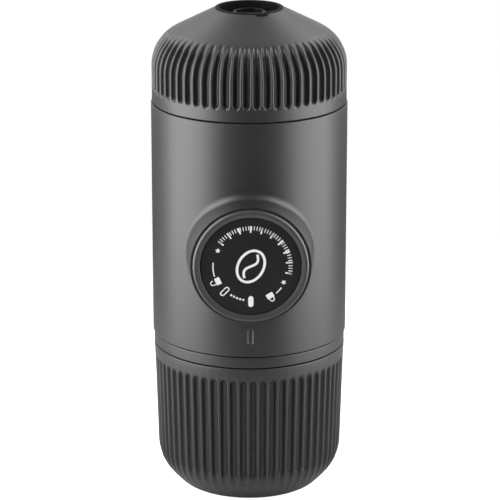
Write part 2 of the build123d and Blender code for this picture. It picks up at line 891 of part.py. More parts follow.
piston_spring_length = gland_front - knob_wall_back - axial_clearance
piston_spring_back = gland_front - axial_clearance / 2
piston_coil = coil_spring(
    piston_spring_radius,
    piston_wire,
    piston_spring_length,
    piston_spring_turns,
)
with BuildPart() as piston_spring:
    with Locations(Plane(origin=(0, piston_spring_back, knob_level), z_dir=(0, -1, 0))):
        add(piston_coil)
save(piston_spring, "piston_spring")

lugs = [
    pump_sector(
        knob_radius - knob_wall / 2,
        knob_radius + lug_height,
        knob_back - lug_length,
        knob_back,
        side + lug_width / 2,
        lug_width,
    )
    for side in lug_angles
]
dish_radius = knob_radius - knob_edge_rounding
with BuildPart() as knob_shell:
    with BuildSketch(across(knob_front)):
        Circle(knob_radius)
    extrude(amount=knob_depth)
    fillet(knob_shell.edges().filter_by(GeomType.CIRCLE).sort_by(Axis.Y)[0], knob_edge_rounding)
    with BuildSketch(Plane.XY.offset(knob_level)):
        with BuildLine():
            Polyline(
                (0, knob_front),
                (dish_radius, knob_front),
                (knob_face_radius, knob_front + knob_rim_dish),
                (0, knob_front + knob_rim_dish),
                close=True,
            )
        make_face()
    revolve(axis=pump_axis, mode=Mode.SUBTRACT)
    with BuildSketch(across(knob_front)):
        Circle(knob_face_radius)
    extrude(amount=knob_wall_front - knob_front, mode=Mode.SUBTRACT)
    with BuildSketch(across(knob_wall_back)):
        Circle(knob_inner_radius)
        Circle(knob_hub_radius, mode=Mode.SUBTRACT)
    extrude(amount=knob_back - knob_wall_back, mode=Mode.SUBTRACT)
    with BuildSketch(across(knob_hub_back)):
        Circle(knob_inner_radius)
    extrude(amount=knob_back - knob_hub_back, mode=Mode.SUBTRACT)
    with BuildSketch(across(knob_wall_front)):
        Circle(shoulder_radius + shaft_clearance)
    extrude(amount=knob_hub_back - knob_wall_front, mode=Mode.SUBTRACT)
    with BuildSketch(across(knob_wall_front)):
        Circle(shoulder_head_radius + running_clearance)
    extrude(amount=shoulder_head_height, mode=Mode.SUBTRACT)
    add(lugs)
save(knob_shell, "knob_shell")

with BuildPart() as knob_face:
    with BuildSketch(across(knob_wall_front - knob_face_thickness)):
        Circle(knob_face_radius - screw_clearance)
    extrude(amount=knob_face_thickness)
save(knob_face, "knob_face")

# ================================================================ portafilter
basket_bore = basket_radius - basket_wall
with BuildPart() as filter_basket:
    with BuildSketch(Plane.XY.offset(basket_bottom)):
        Circle(basket_radius)
    extrude(amount=basket_height)
    fillet(filter_basket.edges().filter_by(GeomType.CIRCLE).sort_by(Axis.Z)[-1], 2 * basket_wall)
    with BuildSketch(Plane.XY.offset(basket_bottom)):
        Circle(basket_rim_radius)
    extrude(amount=basket_rim_thickness)
    with BuildSketch(Plane.XY.offset(basket_bottom)):
        Circle(basket_bore)
    extrude(amount=basket_height - basket_wall, mode=Mode.SUBTRACT)
    with BuildSketch(Plane.XY.offset(basket_top - basket_wall)):
        Circle(perforation_radius)
        for ring in range(1, int((basket_bore - perforation_radius) / perforation_step) + 1):
            with PolarLocations(ring * perforation_step, ring * holes_per_ring):
                Circle(perforation_radius)
    extrude(amount=basket_wall, mode=Mode.SUBTRACT)
save(filter_basket, "filter_basket")

insert_bottom = dome_seam + half_seam
insert_bore = basket_radius + running_clearance + axial_clearance / 2
insert_radius = insert_bore + insert_wall
insert_roof = basket_top + running_clearance
insert_top = insert_roof + insert_wall
rim_pocket_radius = basket_rim_radius + running_clearance
rim_pocket_bottom = neck_top + running_clearance
nozzle_floor = top_level - nozzle_floor_drop
nozzle_under = nozzle_floor - nozzle_floor_thickness
insert_ridges = thread_ridges(thread_bore, False, insert_bottom + thread_lead_in)
dome_room = turned_bowl(dome_outline(dome_wall + insert_fit), extra=1.0)
with BuildPart() as portafilter_insert:
    with BuildSketch(Plane.XZ):
        with BuildLine():
            Polyline(
                (pressure_seat_radius, insert_roof),
                (insert_bore, insert_roof),
                (insert_bore, basket_rim_top + axial_clearance),
                (rim_pocket_radius, basket_rim_top + axial_clearance),
                (rim_pocket_radius, rim_pocket_bottom),
                (thread_bore, rim_pocket_bottom),
                (thread_bore, insert_bottom),
                (insert_ring_radius, insert_bottom),
                (insert_ring_radius, insert_bottom + insert_ring_height),
                (insert_radius, insert_bottom + insert_ring_height),
                (insert_radius, insert_top),
                (spout_tube_radius, insert_top),
                (spout_tube_radius, nozzle_under),
                (spout_tube_bore, nozzle_under),
                (spout_tube_bore, insert_top),
                (pressure_seat_radius, insert_top),
                close=True,
            )
        make_face()
    revolve(axis=Axis.Z)
    add(dome_room, mode=Mode.INTERSECT)
    add(insert_ridges)
save(portafilter_insert, "portafilter_insert")

dome_points = dome_outline()
dome_path = dome_outline(-flute_standoff)
dome_flute_bottom = dome_seam + dome_flute_start + flute_width / 2
dome_cutter = flute_cutter(
    Vector(dome_path["rim"].X, dome_flute_bottom),
    dome_path["high"],
    dome_path["centre"],
    dome_flute_turn,
)
dome_solid = turned_bowl(dome_points)
dome_hollow = turned_bowl(dome_outline(dome_wall), extra=1.0)
with BuildPart() as portafilter_dome:
    add(dome_solid)
    chamfer(portafilter_dome.edges().group_by(Axis.Z)[0], seam_bevel)
    with BuildSketch(Plane.XY.offset(top_level - liner_depth)):
        Circle(spout_opening_radius)
    extrude(amount=liner_depth, mode=Mode.SUBTRACT)
    fillet(portafilter_dome.edges().group_by(Axis.Z)[-1], spout_lip_rounding)
    add(dome_hollow, mode=Mode.SUBTRACT)
    with PolarLocations(0, flute_count, start_angle=flute_phase):
        add(dome_cutter, mode=Mode.SUBTRACT)
save(portafilter_dome, "portafilter_dome")

liner_radius = spout_opening_radius - screw_clearance
liner_bore = liner_radius - liner_width
tab_arc = degrees(tab_width / spout_opening_radius)
tab_slope = tan(radians(90 - dome_shoulder_turn))
tab_root = liner_radius - liner_width / 2
tab_end = spout_opening_radius + tab_reach
tab_start = radians(tab_angle - tab_arc / 2)
tab_plane = Plane(
    origin=(0, 0, 0),
    x_dir=(cos(tab_start), sin(tab_start), 0),
    z_dir=(sin(tab_start), -cos(tab_start), 0),
)
tab_under = top_level - spout_lip_rounding / 2
tab_knee = spout_opening_radius + spout_lip_rounding
tab_drop = (tab_end - tab_knee) * tab_slope
with BuildPart() as nozzle_ring:
    with BuildSketch(Plane.XY.offset(top_level - liner_depth)):
        Circle(liner_radius)
        Circle(liner_bore, mode=Mode.SUBTRACT)
    extrude(amount=liner_depth - spout_lip_rounding)
    with BuildSketch(tab_plane):
        with BuildLine():
            Polyline(
                (tab_root, tab_under - tab_thickness),
                (tab_knee, tab_under + tab_gap),
                (tab_end, tab_under + tab_gap - tab_drop),
                (tab_end, tab_under + tab_thickness - tab_drop),
                (tab_knee, tab_under + tab_thickness),
                (tab_root, tab_under + tab_thickness),
                close=True,
            )
        make_face()
    revolve(axis=Axis.Z, revolution_arc=tab_arc)
save(nozzle_ring, "nozzle_ring")

nozzle_radius = liner_bore - screw_clearance
hub_top = top_level - nozzle_hub_drop
with BuildPart() as nozzle:
    with BuildSketch(Plane.XY.offset(nozzle_under)):
        Circle(nozzle_radius)
    extrude(amount=nozzle_floor_thickness)
    with BuildSketch(Plane.XY.offset(nozzle_under - nozzle_skirt_length)):
        Circle(nozzle_radius)
        Circle(spout_tube_radius + screw_clearance, mode=Mode.SUBTRACT)
    extrude(amount=nozzle_skirt_length)
    with BuildSketch(Plane.XY.offset(nozzle_floor)):
        Circle(nozzle_hub_radius)
    extrude(amount=hub_top - nozzle_floor)
    fillet(nozzle.faces().sort_by(Axis.Z)[-1].edges(), nozzle_hub_rounding)
    with BuildSketch(Plane.XY.offset(hub_top - nozzle_hub_dish)):
        Circle(nozzle_hub_radius - nozzle_hub_wall)
    extrude(amount=nozzle_hub_dish, mode=Mode.SUBTRACT)
    with BuildSketch(Plane.XY.offset(nozzle_under)):
        with PolarLocations(nozzle_port_circle, nozzle_ports, start_angle=180 / nozzle_ports):
            Circle(nozzle_port_radius)
    extrude(amount=hub_top - nozzle_under, mode=Mode.SUBTRACT)
save(nozzle, "nozzle")

with BuildPart() as nozzle_seal:
    with BuildSketch(Plane.XY.offset(nozzle_under - nozzle_seal_width)):
        Circle(spout_tube_bore - screw_clearance)
        Circle(spout_tube_bore - nozzle_seal_width, mode=Mode.SUBTRACT)
    extrude(amount=nozzle_seal_width)
save(nozzle_seal, "nozzle_seal")

pressure_head_bottom = insert_top + ball_gap
pressure_head_top = pressure_head_bottom + pressure_head_height
stem_top = nozzle_under - pressure_travel - axial_clearance
with BuildPart() as pressure_valve:
    with BuildSketch(Plane.XY.offset(pressure_head_bottom)):
        Circle(pressure_head_radius)
    extrude(amount=pressure_head_height)
    with BuildSketch(Plane.XY.offset(pressure_head_top)):
        Circle(pressure_stem_radius)
    extrude(amount=stem_top - pressure_head_top)
    with BuildSketch(Plane.XY.offset(insert_roof)):
        Circle(pressure_seat_radius - running_clearance)
    extrude(amount=pressure_head_bottom - insert_roof)
save(pressure_valve, "pressure_valve")

pressure_spring_length = nozzle_under - pressure_head_top - 2 * ball_gap
pressure_coil = coil_spring(
    pressure_spring_radius,
    pressure_wire,
    pressure_spring_length,
    pressure_spring_turns,
)
with BuildPart() as pressure_valve_spring:
    with Locations((0, 0, pressure_head_top + ball_gap)):
        add(pressure_coil)
save(pressure_valve_spring, "pressure_valve_spring")
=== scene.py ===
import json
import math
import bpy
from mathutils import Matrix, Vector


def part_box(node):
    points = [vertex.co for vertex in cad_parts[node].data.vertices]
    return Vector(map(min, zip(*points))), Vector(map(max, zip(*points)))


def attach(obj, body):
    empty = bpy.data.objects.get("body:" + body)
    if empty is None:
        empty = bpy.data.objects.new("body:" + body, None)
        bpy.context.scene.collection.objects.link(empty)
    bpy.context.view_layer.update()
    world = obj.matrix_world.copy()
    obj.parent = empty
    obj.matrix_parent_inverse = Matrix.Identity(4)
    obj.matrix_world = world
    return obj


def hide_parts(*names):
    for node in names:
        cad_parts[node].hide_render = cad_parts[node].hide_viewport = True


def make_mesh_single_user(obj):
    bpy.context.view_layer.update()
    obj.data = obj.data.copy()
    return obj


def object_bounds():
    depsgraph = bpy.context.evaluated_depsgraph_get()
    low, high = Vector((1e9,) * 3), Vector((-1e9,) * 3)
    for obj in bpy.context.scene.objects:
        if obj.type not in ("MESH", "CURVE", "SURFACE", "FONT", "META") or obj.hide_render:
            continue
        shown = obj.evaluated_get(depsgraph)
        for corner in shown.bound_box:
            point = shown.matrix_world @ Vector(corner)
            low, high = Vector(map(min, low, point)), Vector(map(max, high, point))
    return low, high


bl_info = {
    "name": "Handheld espresso maker",
    "version": (1, 0, 0),
    "blender": (4, 5, 0),
    "location": "3D View > Sidebar > Espresso",
    "description": "Finishes the packed espresso maker: shells, knob, dial, spout, materials and stage",
    "category": "Add Mesh",
}

import bmesh
import bpy
from bpy.props import FloatProperty, FloatVectorProperty, IntProperty, PointerProperty
from mathutils import Matrix, Vector

MM = 0.001

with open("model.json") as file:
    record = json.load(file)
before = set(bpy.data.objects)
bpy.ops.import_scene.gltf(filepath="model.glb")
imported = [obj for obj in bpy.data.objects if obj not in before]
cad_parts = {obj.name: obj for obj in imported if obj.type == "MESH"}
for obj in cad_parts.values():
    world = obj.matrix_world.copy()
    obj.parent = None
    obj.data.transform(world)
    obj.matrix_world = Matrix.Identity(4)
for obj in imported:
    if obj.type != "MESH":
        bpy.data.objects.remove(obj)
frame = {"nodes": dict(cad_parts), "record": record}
cad_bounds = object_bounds()

shell_low, shell_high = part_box("body_shell")
dome_low, dome_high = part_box("portafilter_dome")
collar_low, collar_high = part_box("tank_collar")
knob_low, knob_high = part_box("knob_shell")
face_low, face_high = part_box("knob_face")
cup_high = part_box("drinking_cup")[1]
liner_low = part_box("nozzle_ring")[0]
nozzle_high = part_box("nozzle")[1]

knob_level = (knob_low.z + knob_high.z) / 2
upright = Matrix.Identity(4)
pump_axis = Matrix.Translation((0, 0, knob_level)) @ Matrix.Rotation(-math.pi / 2, 4, "X")


# ---------------------------------------------------------------- settings
def length(name, description, millimetres):
    """Length setting, given in millimetres."""
    default = millimetres * MM
    return FloatProperty(name=name, description=description, default=default, unit="LENGTH", precision=5)


def angle(name, description, degrees):
    """Angle setting, given in degrees."""
    default = math.radians(degrees)
    return FloatProperty(name=name, description=description, default=default, subtype="ANGLE")


def colour(name, description, value):
    """Colour setting."""
    return FloatVectorProperty(
        name=name, description=description, default=value, subtype="COLOR", min=0, max=1
    )


def amount(name, description, value):
    """Plain number setting."""
    return FloatProperty(name=name, description=description, default=value)


class FluteSizes(bpy.types.PropertyGroup):
    """Grip flutes on the dome and the cup."""

    count: IntProperty(name="Flutes", description="Flutes round the object", default=60, min=3)
    columns: IntProperty(name="Columns", description="Mesh columns for each flute", default=16)
    width: length("Width", "Width of one flute at the surface", 2.2)
    depth: length("Depth", "Depth of a flute", 1.5)
    seam_runout: length("Seam runout", "Length of a flute's round end near the seam", 1.5)
    dome_softness: length("Dome softness", "How softly the dome's flutes roll into the ribs", 0.1)
    dome_seam: length("Dome, seam end", "Level where the dome's flutes start to close", 132.5)
    dome_corner: length("Dome, corner end", "Level where the dome's flutes start to fade", 146.5)
    dome_fade: length("Dome fade", "Length over which the dome's flutes get shallow", 4.5)
    dome_phase: angle("Dome phase", "Turn of the dome's flutes", 0.7)
    cup_softness: length("Cup softness", "How softly the cup's flutes roll into the ribs", 0.6)
    cup_seam: length("Cup, seam end", "Level where the cup's flutes start to close", 41.7)
    cup_corner: length("Cup, corner end", "Level where the cup's flutes start to fade", 10.6)
    cup_fade: length("Cup fade", "Length over which the cup's flutes get shallow", 3.6)
    cup_phase: angle("Cup phase", "Turn of the cup's flutes", -1.33)


class ShellSizes(bpy.types.PropertyGroup):
    """Outer shells."""

    edge: length("Edge rounding", "Rounding of the edges at the seams", 0.3)
    dome_height: length("Dome height", "Height of the dome over its rim", 29.65)
    dome_wall: length("Dome wall", "Wall of the dome", 1.9)
    dome_shoulder: length("Shoulder radius", "Radius of the dome's shoulder", 12.6)
    dome_turn: angle("Shoulder turn", "How far the dome's shoulder turns inwards", 63)
    opening_radius: length("Opening radius", "Radius of the spout's opening", 10.3)
    opening_lip: length("Opening lip", "Rounding of the opening's edge", 0.4)
    cup_inset: length("Cup inset", "How far the cup's rim stands inside the case's side", 0.3)
    cup_lean: angle("Cup lean", "Draft of the cup's side", 1.6)
    cup_corner: length("Cup corner", "Radius of the cup's lower corner", 14.5)
    cup_turn: angle("Cup turn", "How far the cup's corner turns inwards", 44)
    cup_base: length("Cup base", "Radius where the corner's slope meets the base", 21.75)
    cup_base_rounding: length("Base rounding", "Rounding between the slope and the base", 5.0)
    cup_wall: length("Cup wall", "Wall of the cup", 2.15)
    case_wall: length("Case wall", "Wall of the body's case", 1.8)
    boss_radius: length("Boss radius", "Radius of the boss at its front edge", 18.7)
    boss_reach: length("Boss reach", "How far the boss stands out over the frame's case", 0.8)
    boss_lean: angle("Boss lean", "Draft of the boss", 3.5)
    boss_flare: length("Boss flare", "Fillet between the boss and the case", 2.4)
    boss_lip: length("Boss lip", "Rounding of the boss's front edge", 0.12)
    index_level: length("Index level", "Height of the index mark over the case's lower end", 6.75)
    index_run: length("Index run", "Half of the index mark's straight part", 1.7)
    index_radius: length("Index radius", "Half of the index mark's width", 1.1)
    index_depth: length("Index depth", "Depth of the index mark", 0.4)
    knob_gap: length("Knob gap", "Gap between the knob and its bore", 0.07)


class KnobSizes(bpy.types.PropertyGroup):
    """Knob, its printed face and the marks on it."""

    radius: length("Radius", "Radius of the knob", 17.85)
    edge: length("Edge rounding", "Rounding of the knob's front edge", 0.85)
    dish: length("Rim dish", "Fall of the knob's rim towards the face", 0.4)
    face_radius: length("Face opening", "Radius of the opening that holds the face", 15.65)
    wall: length("Wall", "Wall of the knob's skirt", 1.6)
    front_wall: length("Front wall", "Thickness behind the face", 2.2)
    screw_radius: length("Screw hole", "Radius of the hole for the knob's screw", 2.05)
    hub_radius: length("Hub radius", "Radius of the hub behind the face", 5.8)
    hub_length: length("Hub length", "Length of the hub behind the front wall", 3.2)
    lug_length: length("Lug length", "Length of the skirt's two lugs", 2.5)
    lug_arc: angle("Lug arc", "Arc of a lug", 14)
    ink: length("Ink", "Thickness of the printed marks", 0.03)
    mark_radius: length("Mark radius", "Radius of the circle that the marks stand on", 11.3)
    tick_count: IntProperty(name="Ticks", description="Ticks on the dial's scale", default=39)
    tick_first: angle("First tick", "Angle of the scale's first tick", 141)
    tick_last: angle("Last tick", "Angle of the scale's last tick", -11)


class Finishes(bpy.types.PropertyGroup):
    """Colours of the finishes."""

    case: colour("Case", "Moulded plastic of the shells", (0.0115, 0.0115, 0.0117))
    knob: colour("Knob", "Moulded plastic of the knob", (0.032, 0.032, 0.0322))
    dial: colour("Dial", "Face of the knob", (0.006, 0.006, 0.0065))
    ink: colour("Ink", "Printed marks", (0.64, 0.64, 0.63))
    spout: colour("Spout", "Plastic of the spout", (0.008, 0.008, 0.009))
    # Painted highlight: the lighter grey under the spout's hub stands in for light reflected in its
    # ports and on its floor.
    spout_under: colour("Spout, underside", "Plastic of the spout under its hub", (0.2, 0.2, 0.2))
    inner: colour("Inner plastic", "Moulded plastic of the inner pieces", (0.030, 0.030, 0.032))
    tank: colour("Tank", "Plastic of the water tank", (0.040, 0.041, 0.045))
    steel: colour("Steel", "Turned and pressed steel", (0.60, 0.60, 0.61))
    silicone: colour("Silicone", "Seals", (0.022, 0.022, 0.023))


class StageSettings(bpy.types.PropertyGroup):
    """Camera, lamps and floor."""

    lens: amount("Lens", "Focal length in millimetres", 188.75)
    shift: amount("Shift", "Sideways shift of the camera, in widths of its sensor", 0.0015)
    distance: length("Distance", "Camera's distance from the axis, along the floor", 804)
    height: length("Height", "Camera's height over the floor", 324.7)
    pitch: angle("Pitch", "Camera's tilt towards the floor", 17.11)
    azimuth: angle("Azimuth", "Camera's place round the object", -0.72)
    left_power: amount("Left lamp", "Radiance of the left softbox", 7.5)
    right_power: amount("Right lamp", "Radiance of the right softbox", 5.9)
    top_power: amount("Top lamp", "Radiance of the softbox overhead", 0.6)
    high_power: amount("High lamps", "Radiance of the two softboxes behind and above", 4.0)
    left_azimuth: angle("Left azimuth", "Place of the left lamp, from the front", 71.5)
    right_azimuth: angle("Right azimuth", "Place of the right lamp, from the front", 74)
    lamp_width: length("Lamp width", "Width of the side lamps", 232)
    lamp_height: length("Lamp height", "Height of the side lamps", 360)
    lamp_distance: length("Lamp distance", "Distance of the side lamps from the axis", 210)
    backdrop_top: FloatVectorProperty(
        name="Backdrop's top",
        description="Height in a unit ball where the backdrop starts to fade in a gloss, and ends",
        size=2,
        default=(0.62, 0.9),
    )
    room: amount("Room light", "Strength of the even light of the room", 0.1)
    floor: colour("Floor", "Floor further off", (0.10, 0.10, 0.10))
    near_floor: colour("Near floor", "Floor round the object", (0.52, 0.52, 0.52))
    floor_lift: amount("Floor lift", "White that the camera sees on the floor besides its light", 0.92)
    floor_near: length("Floor near", "Radius round the object where gloss shows the floor as lit", 500)


GROUPS = {
    "espresso_flutes": FluteSizes,
    "espresso_shells": ShellSizes,
    "espresso_knob": KnobSizes,
    "espresso_finishes": Finishes,
    "espresso_stage": StageSettings,
}


# ---------------------------------------------------------------- nodes
class Wire:
    """Output of a node, which can be used in a sum like a number."""

    def __init__(self, graph, socket):
        self.graph = graph
        self.socket = socket

    def maths(self, operation, *values):
        """Math node on this wire and the other values."""
        return self.graph.maths(operation, self, *values)

    def __add__(self, other):
        return self.maths("ADD", other)

    def __radd__(self, other):
        return self.maths("ADD", other)

    def __sub__(self, other):
        return self.maths("SUBTRACT", other)

    def __rsub__(self, other):
        return self.graph.maths("SUBTRACT", other, self)

    def __mul__(self, other):
        return self.maths("MULTIPLY", other)

    def __rmul__(self, other):
        return self.maths("MULTIPLY", other)

    def __truediv__(self, other):
        return self.maths("DIVIDE", other)

    def __rtruediv__(self, other):
        return self.graph.maths("DIVIDE", other, self)

    def __abs__(self):
        return self.maths("ABSOLUTE")

    def root(self):
        """Square root."""
        return self.maths("SQRT")

    def above(self, other):
        """The larger of the two."""
        return self.maths("MAXIMUM", other)

    def smooth(self, low, high):
        """0 below low and 1 above high, with a soft step between them."""
        inputs = {"Value": self, "From Min": low, "From Max": high}
        return self.graph.node("ShaderNodeMapRange", {"interpolation_type": "SMOOTHSTEP"}, inputs)

    def output(self, name):
        """Another output of the same node."""
        return Wire(self.graph, self.socket.node.outputs[name])


class Graph:
    """Node tree that is written as calls and sums."""

    def __init__(self, tree):
        self.tree = tree
        tree.nodes.clear()

    def node(self, kind, settings=None, inputs=None, output=0):
        """New node: its settings first, then the values or links of its sockets."""
        made = self.tree.nodes.new(kind)
        for name, value in (settings or {}).items():
            setattr(made, name, value)
        for key, value in (inputs or {}).items():
            named = [s for s in made.inputs if s.name == key and s.enabled]
            socket = named[0] if named else made.inputs[key]
            if isinstance(value, Wire):
                self.tree.links.new(value.socket, socket)
            else:
                socket.default_value = value
        return Wire(self, made.outputs[output] if made.outputs else None)

    def maths(self, operation, *values):
        """Math node on numbers and wires."""
        return self.node("ShaderNodeMath", {"operation": operation}, dict(enumerate(values)))

    def combine(self, x, y, z):
        """Vector of three values."""
        return self.node("ShaderNodeCombineXYZ", None, {"X": x, "Y": y, "Z": z})

    def split(self, vector):
        """The three values of a vector."""
        first = self.node("ShaderNodeSeparateXYZ", None, {"Vector": vector})
        return first, first.output("Y"), first.output("Z")

    def given(self, label):
        """Input of the group."""
        return self.node("NodeGroupInput", output=label)

    def finished(self, geometry):
        """Realize the geometry, give it the group's material, and make it the group's result."""
        geometry = self.node("GeometryNodeRealizeInstances", None, {"Geometry": geometry})
        inputs = {"Geometry": geometry, "Material": self.given("Material")}
        geometry = self.node("GeometryNodeSetMaterial", None, inputs)
        self.node("NodeGroupOutput", None, {"Geometry": geometry})
        return self


def new_group(name, **kinds):
    """Geometry node group with inputs of these kinds, such as Float="First Last"."""
    tree = bpy.data.node_groups.new(name, "GeometryNodeTree")
    face = tree.interface
    face.new_socket("Geometry", in_out="INPUT", socket_type="NodeSocketGeometry")
    for kind, labels in kinds.items():
        for label in labels.split():
            face.new_socket(label.replace("_", " "), in_out="INPUT", socket_type=f"NodeSocket{kind}")
    face.new_socket("Geometry", in_out="OUTPUT", socket_type="NodeSocketGeometry")
    return Graph(tree)


def own_mesh(piece):
    """Make what the piece's modifiers show its own mesh, and take the modifiers away."""
    shown = bpy.context.evaluated_depsgraph_get()
    mesh = bpy.data.meshes.new_from_object(
        piece.evaluated_get(shown), preserve_all_data_layers=True, depsgraph=shown
    )
    piece.modifiers.clear()
    piece.data = mesh
    mesh.name = piece.name


def run_group(piece, graph, values):
    """Set the group's inputs on a modifier, and make its result the piece's own mesh."""
    modifier = piece.modifiers.new(graph.tree.name, "NODES")
    modifier.node_group = graph.tree
    for item in graph.tree.interface.items_tree:
        if item.in_out == "INPUT" and item.name in values:
            modifier[item.identifier] = values[item.name]
    own_mesh(piece)
    return piece


# ---------------------------------------------------------------- meshes
SHARP = math.radians(32)


def new_piece(name, mesh):
    """Object at the origin that shows a mesh."""
    piece = bpy.data.objects.new(name, mesh)
    bpy.context.scene.collection.objects.link(piece)
    return piece


def finished_mesh(name, bm):
    """Merge a bmesh's doubles, turn its faces outwards and shade it, sharp where it turns hard."""
    bmesh.ops.remove_doubles(bm, verts=bm.verts, dist=1e-7)
    bmesh.ops.recalc_face_normals(bm, faces=bm.faces)
    for side in bm.faces:
        side.smooth = True
    for edge in bm.edges:
        edge.smooth = edge.calc_face_angle(0) < SHARP
    mesh = bpy.data.meshes.new(name)
    bm.to_mesh(mesh)
    bm.free()
    return mesh


def turn_by(vector, turn):
    """A flat vector, turned."""
    c, s = math.cos(turn), math.sin(turn)
    return Vector((vector.x * c - vector.y * s, vector.x * s + vector.y * c))


def rounded(corners, closed=True, turn_step=math.radians(7.5)):
    """Points along an outline of (x, y, rounding) corners, whose roundings are arcs."""
    spots = [Vector((x, y)) for x, y, _ in corners]
    points = []
    for i, (spot, (_, _, rounding)) in enumerate(zip(spots, corners)):
        if not rounding or (not closed and i in (0, len(spots) - 1)):
            points.append(spot)
            continue
        before = (spots[i - 1] - spot).normalized()
        after = (spots[(i + 1) % len(spots)] - spot).normalized()
        half = before.angle(after) / 2
        centre = spot + (before + after).normalized() * (rounding / math.sin(half))
        reach = spot + before * (rounding / math.tan(half)) - centre
        turn = math.pi - 2 * half
        way = -1 if before.cross(after) > 0 else 1
        steps = max(3, math.ceil(turn / turn_step))
        points += [centre + turn_by(reach, way * turn * k / steps) for k in range(steps + 1)]
    return points


def spaced(points, spacing, guard=0.12 * MM):
    """The same points with more between them: near both ends of a run, and every spacing."""
    full = [points[0]]
    for start, end in zip(points, points[1:]):
        run = end - start
        steps = max(1, math.ceil(run.length / spacing))
        shares = [k / steps for k in range(1, steps)]
        if run.length > 5 * guard:
            shares += [guard / run.length, 1 - guard / run.length]
        full += [start + run * share for share in sorted(shares)]
        full.append(end)
    return full


def stepped(points, zones, fine=0.4 * MM, coarse=3.0 * MM):
    """The same rising points with more between them: fine steps in the zones, coarse ones elsewhere."""
    full = [points[0]]
    for start, end in zip(points, points[1:]):
        run = end - start
        done = 0.0
        while True:
            spot = start + run.normalized() * done
            near = any(low - fine <= spot.y <= high for low, high in zones)
            ahead = min((low - spot.y for low, _ in zones if low > spot.y), default=coarse)
            done += fine if near else min(coarse, max(ahead, fine))
            if done > run.length - 0.4 * fine:
                break
            full.append(start + run.normalized() * done)
        full.append(end)
    return full


def turned(name, points, about, closed=True, segments=192, extra=None):
    """Mesh turned from (across, along) points round the Z axis of the matrix about.

    The function extra adds more to the same bmesh.
    """
    bm = bmesh.new()
    rows = []
    turns = [2 * math.pi * k / segments for k in range(segments)]
    for point in points:
        spots = [Vector((point.x * math.cos(t), point.x * math.sin(t), point.y)) for t in turns]
        rows.append([bm.verts.new(about @ spot) for spot in spots])
    pairs = list(zip(rows, rows[1:]))
    if closed:
        pairs.append((rows[-1], rows[0]))
    for low, high in pairs:
        for k in range(segments):
            after = (k + 1) % segments
            bm.faces.new((low[k], low[after], high[after], high[k]))
    if extra:
        extra(bm)
    return finished_mesh(name, bm)


def closed_tube(bm, loops):
    """Join loops of vertices into a tube with an end face on each side."""
    for low, high in zip(loops, loops[1:]):
        for k in range(len(low)):
            bm.faces.new((low[k], low[k - 1], high[k - 1], high[k]))
    bm.faces.new(loops[0])
    bm.faces.new(loops[-1])


def place(piece, body, slot, material, *nodes):
    """Give a finished piece its material and body, and let it stand for CAD nodes. The slot is not used.
    """
    piece.data.materials.clear()
    piece.data.materials.append(material)
    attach(piece, body)
    if nodes:
        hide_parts(*nodes)


# ---------------------------------------------------------------- materials
def new_finish(name):
    """Empty material as a graph, with its place on the object in metres."""
    material = bpy.data.materials.new(name)
    material.use_nodes = True
    graph = Graph(material.node_tree)
    return material, graph, graph.node("ShaderNodeTexCoord", output="Object")


def noise(graph, spot, size, detail, roughness=0.55):
    """Noise whose features are about this size, in millimetres."""
    inputs = {"Vector": spot, "Scale": 1 / (size * MM), "Detail": detail, "Roughness": roughness}
    return graph.node("ShaderNodeTexNoise", None, inputs)


def mix_colours(graph, share, first, second):
    """Mix of two colours."""
    return graph.node("ShaderNodeMix", {"data_type": "RGBA"}, {0: share, 6: first, 7: second}, output=2)


def shade(value, factor):
    """A colour made lighter or darker, with its alpha."""
    return tuple(min(1.0, part * factor) for part in value[:3]) + (1.0,)


def surfaced(material, graph, tone, roughness, height, depth, shine=0.5, metallic=0.0):
    """End a material in one Principled surface, with a bump of this depth in millimetres."""
    inputs = {"Height": height, "Distance": depth * MM, "Strength": 1.0}
    inputs = {
        "Base Color": tone,
        "Roughness": roughness,
        "Normal": graph.node("ShaderNodeBump", None, inputs),
        "Specular IOR Level": shine,
        "Metallic": metallic,
    }
    surface = graph.node("ShaderNodeBsdfPrincipled", None, inputs)
    graph.node("ShaderNodeOutputMaterial", None, {"Surface": surface})
    return material


def moulded(name, tint, roughness, grain, depth, shine=0.5):
    """Moulded plastic with a fine grain and a cloudy gloss."""
    material, graph, spot = new_finish(name)
    cloud = noise(graph, spot, 14, 4)
    speck = noise(graph, spot, grain, 2)
    height = speck * 0.7 + noise(graph, spot, grain * 0.4, 2) * 0.3
    tone = mix_colours(graph, cloud.smooth(0.3, 0.7), shade(tint, 0.93), shade(tint, 1.07))
    gloss = roughness - 0.03 + cloud * 0.06 + speck * 0.03
    return surfaced(material, graph, tone, gloss, height, depth, shine)


def clouded(name, tint, cloud, grain, tones, gloss, depth, shine=0.5, metallic=0.0):
    """Finish whose tone and gloss follow a cloud, and whose relief follows a grain.

    Cloud and grain are each a size in millimetres and a detail, and tones are the shades at the
    cloud's two ends. Gloss is the least roughness, and what the cloud and the grain add to it.
    """
    material, graph, spot = new_finish(name)
    cloud = noise(graph, spot, *cloud)
    grain = noise(graph, spot, *grain)
    tone = mix_colours(graph, cloud, shade(tint, tones[0]), shade(tint, tones[1]))
    roughness = gloss[0]
    for pattern, share in zip((cloud, grain), gloss[1:]):
        if share:
            roughness = roughness + pattern * share
    return surfaced(material, graph, tone, roughness, grain, depth, shine, metallic)


def polished(name, tint, roughness, shine=0.5):
    """Polished plastic with faint moulding ripples."""
    return clouded(name, tint, (9, 3), (3, 2), (0.9, 1.1), (roughness, 0.08, 0.0), 0.02, shine)


# How far under the hub's top the painted highlight below the hub starts to fade into black, and is gone.
HUB_EDGE = (1.35 * MM, 1.1 * MM)


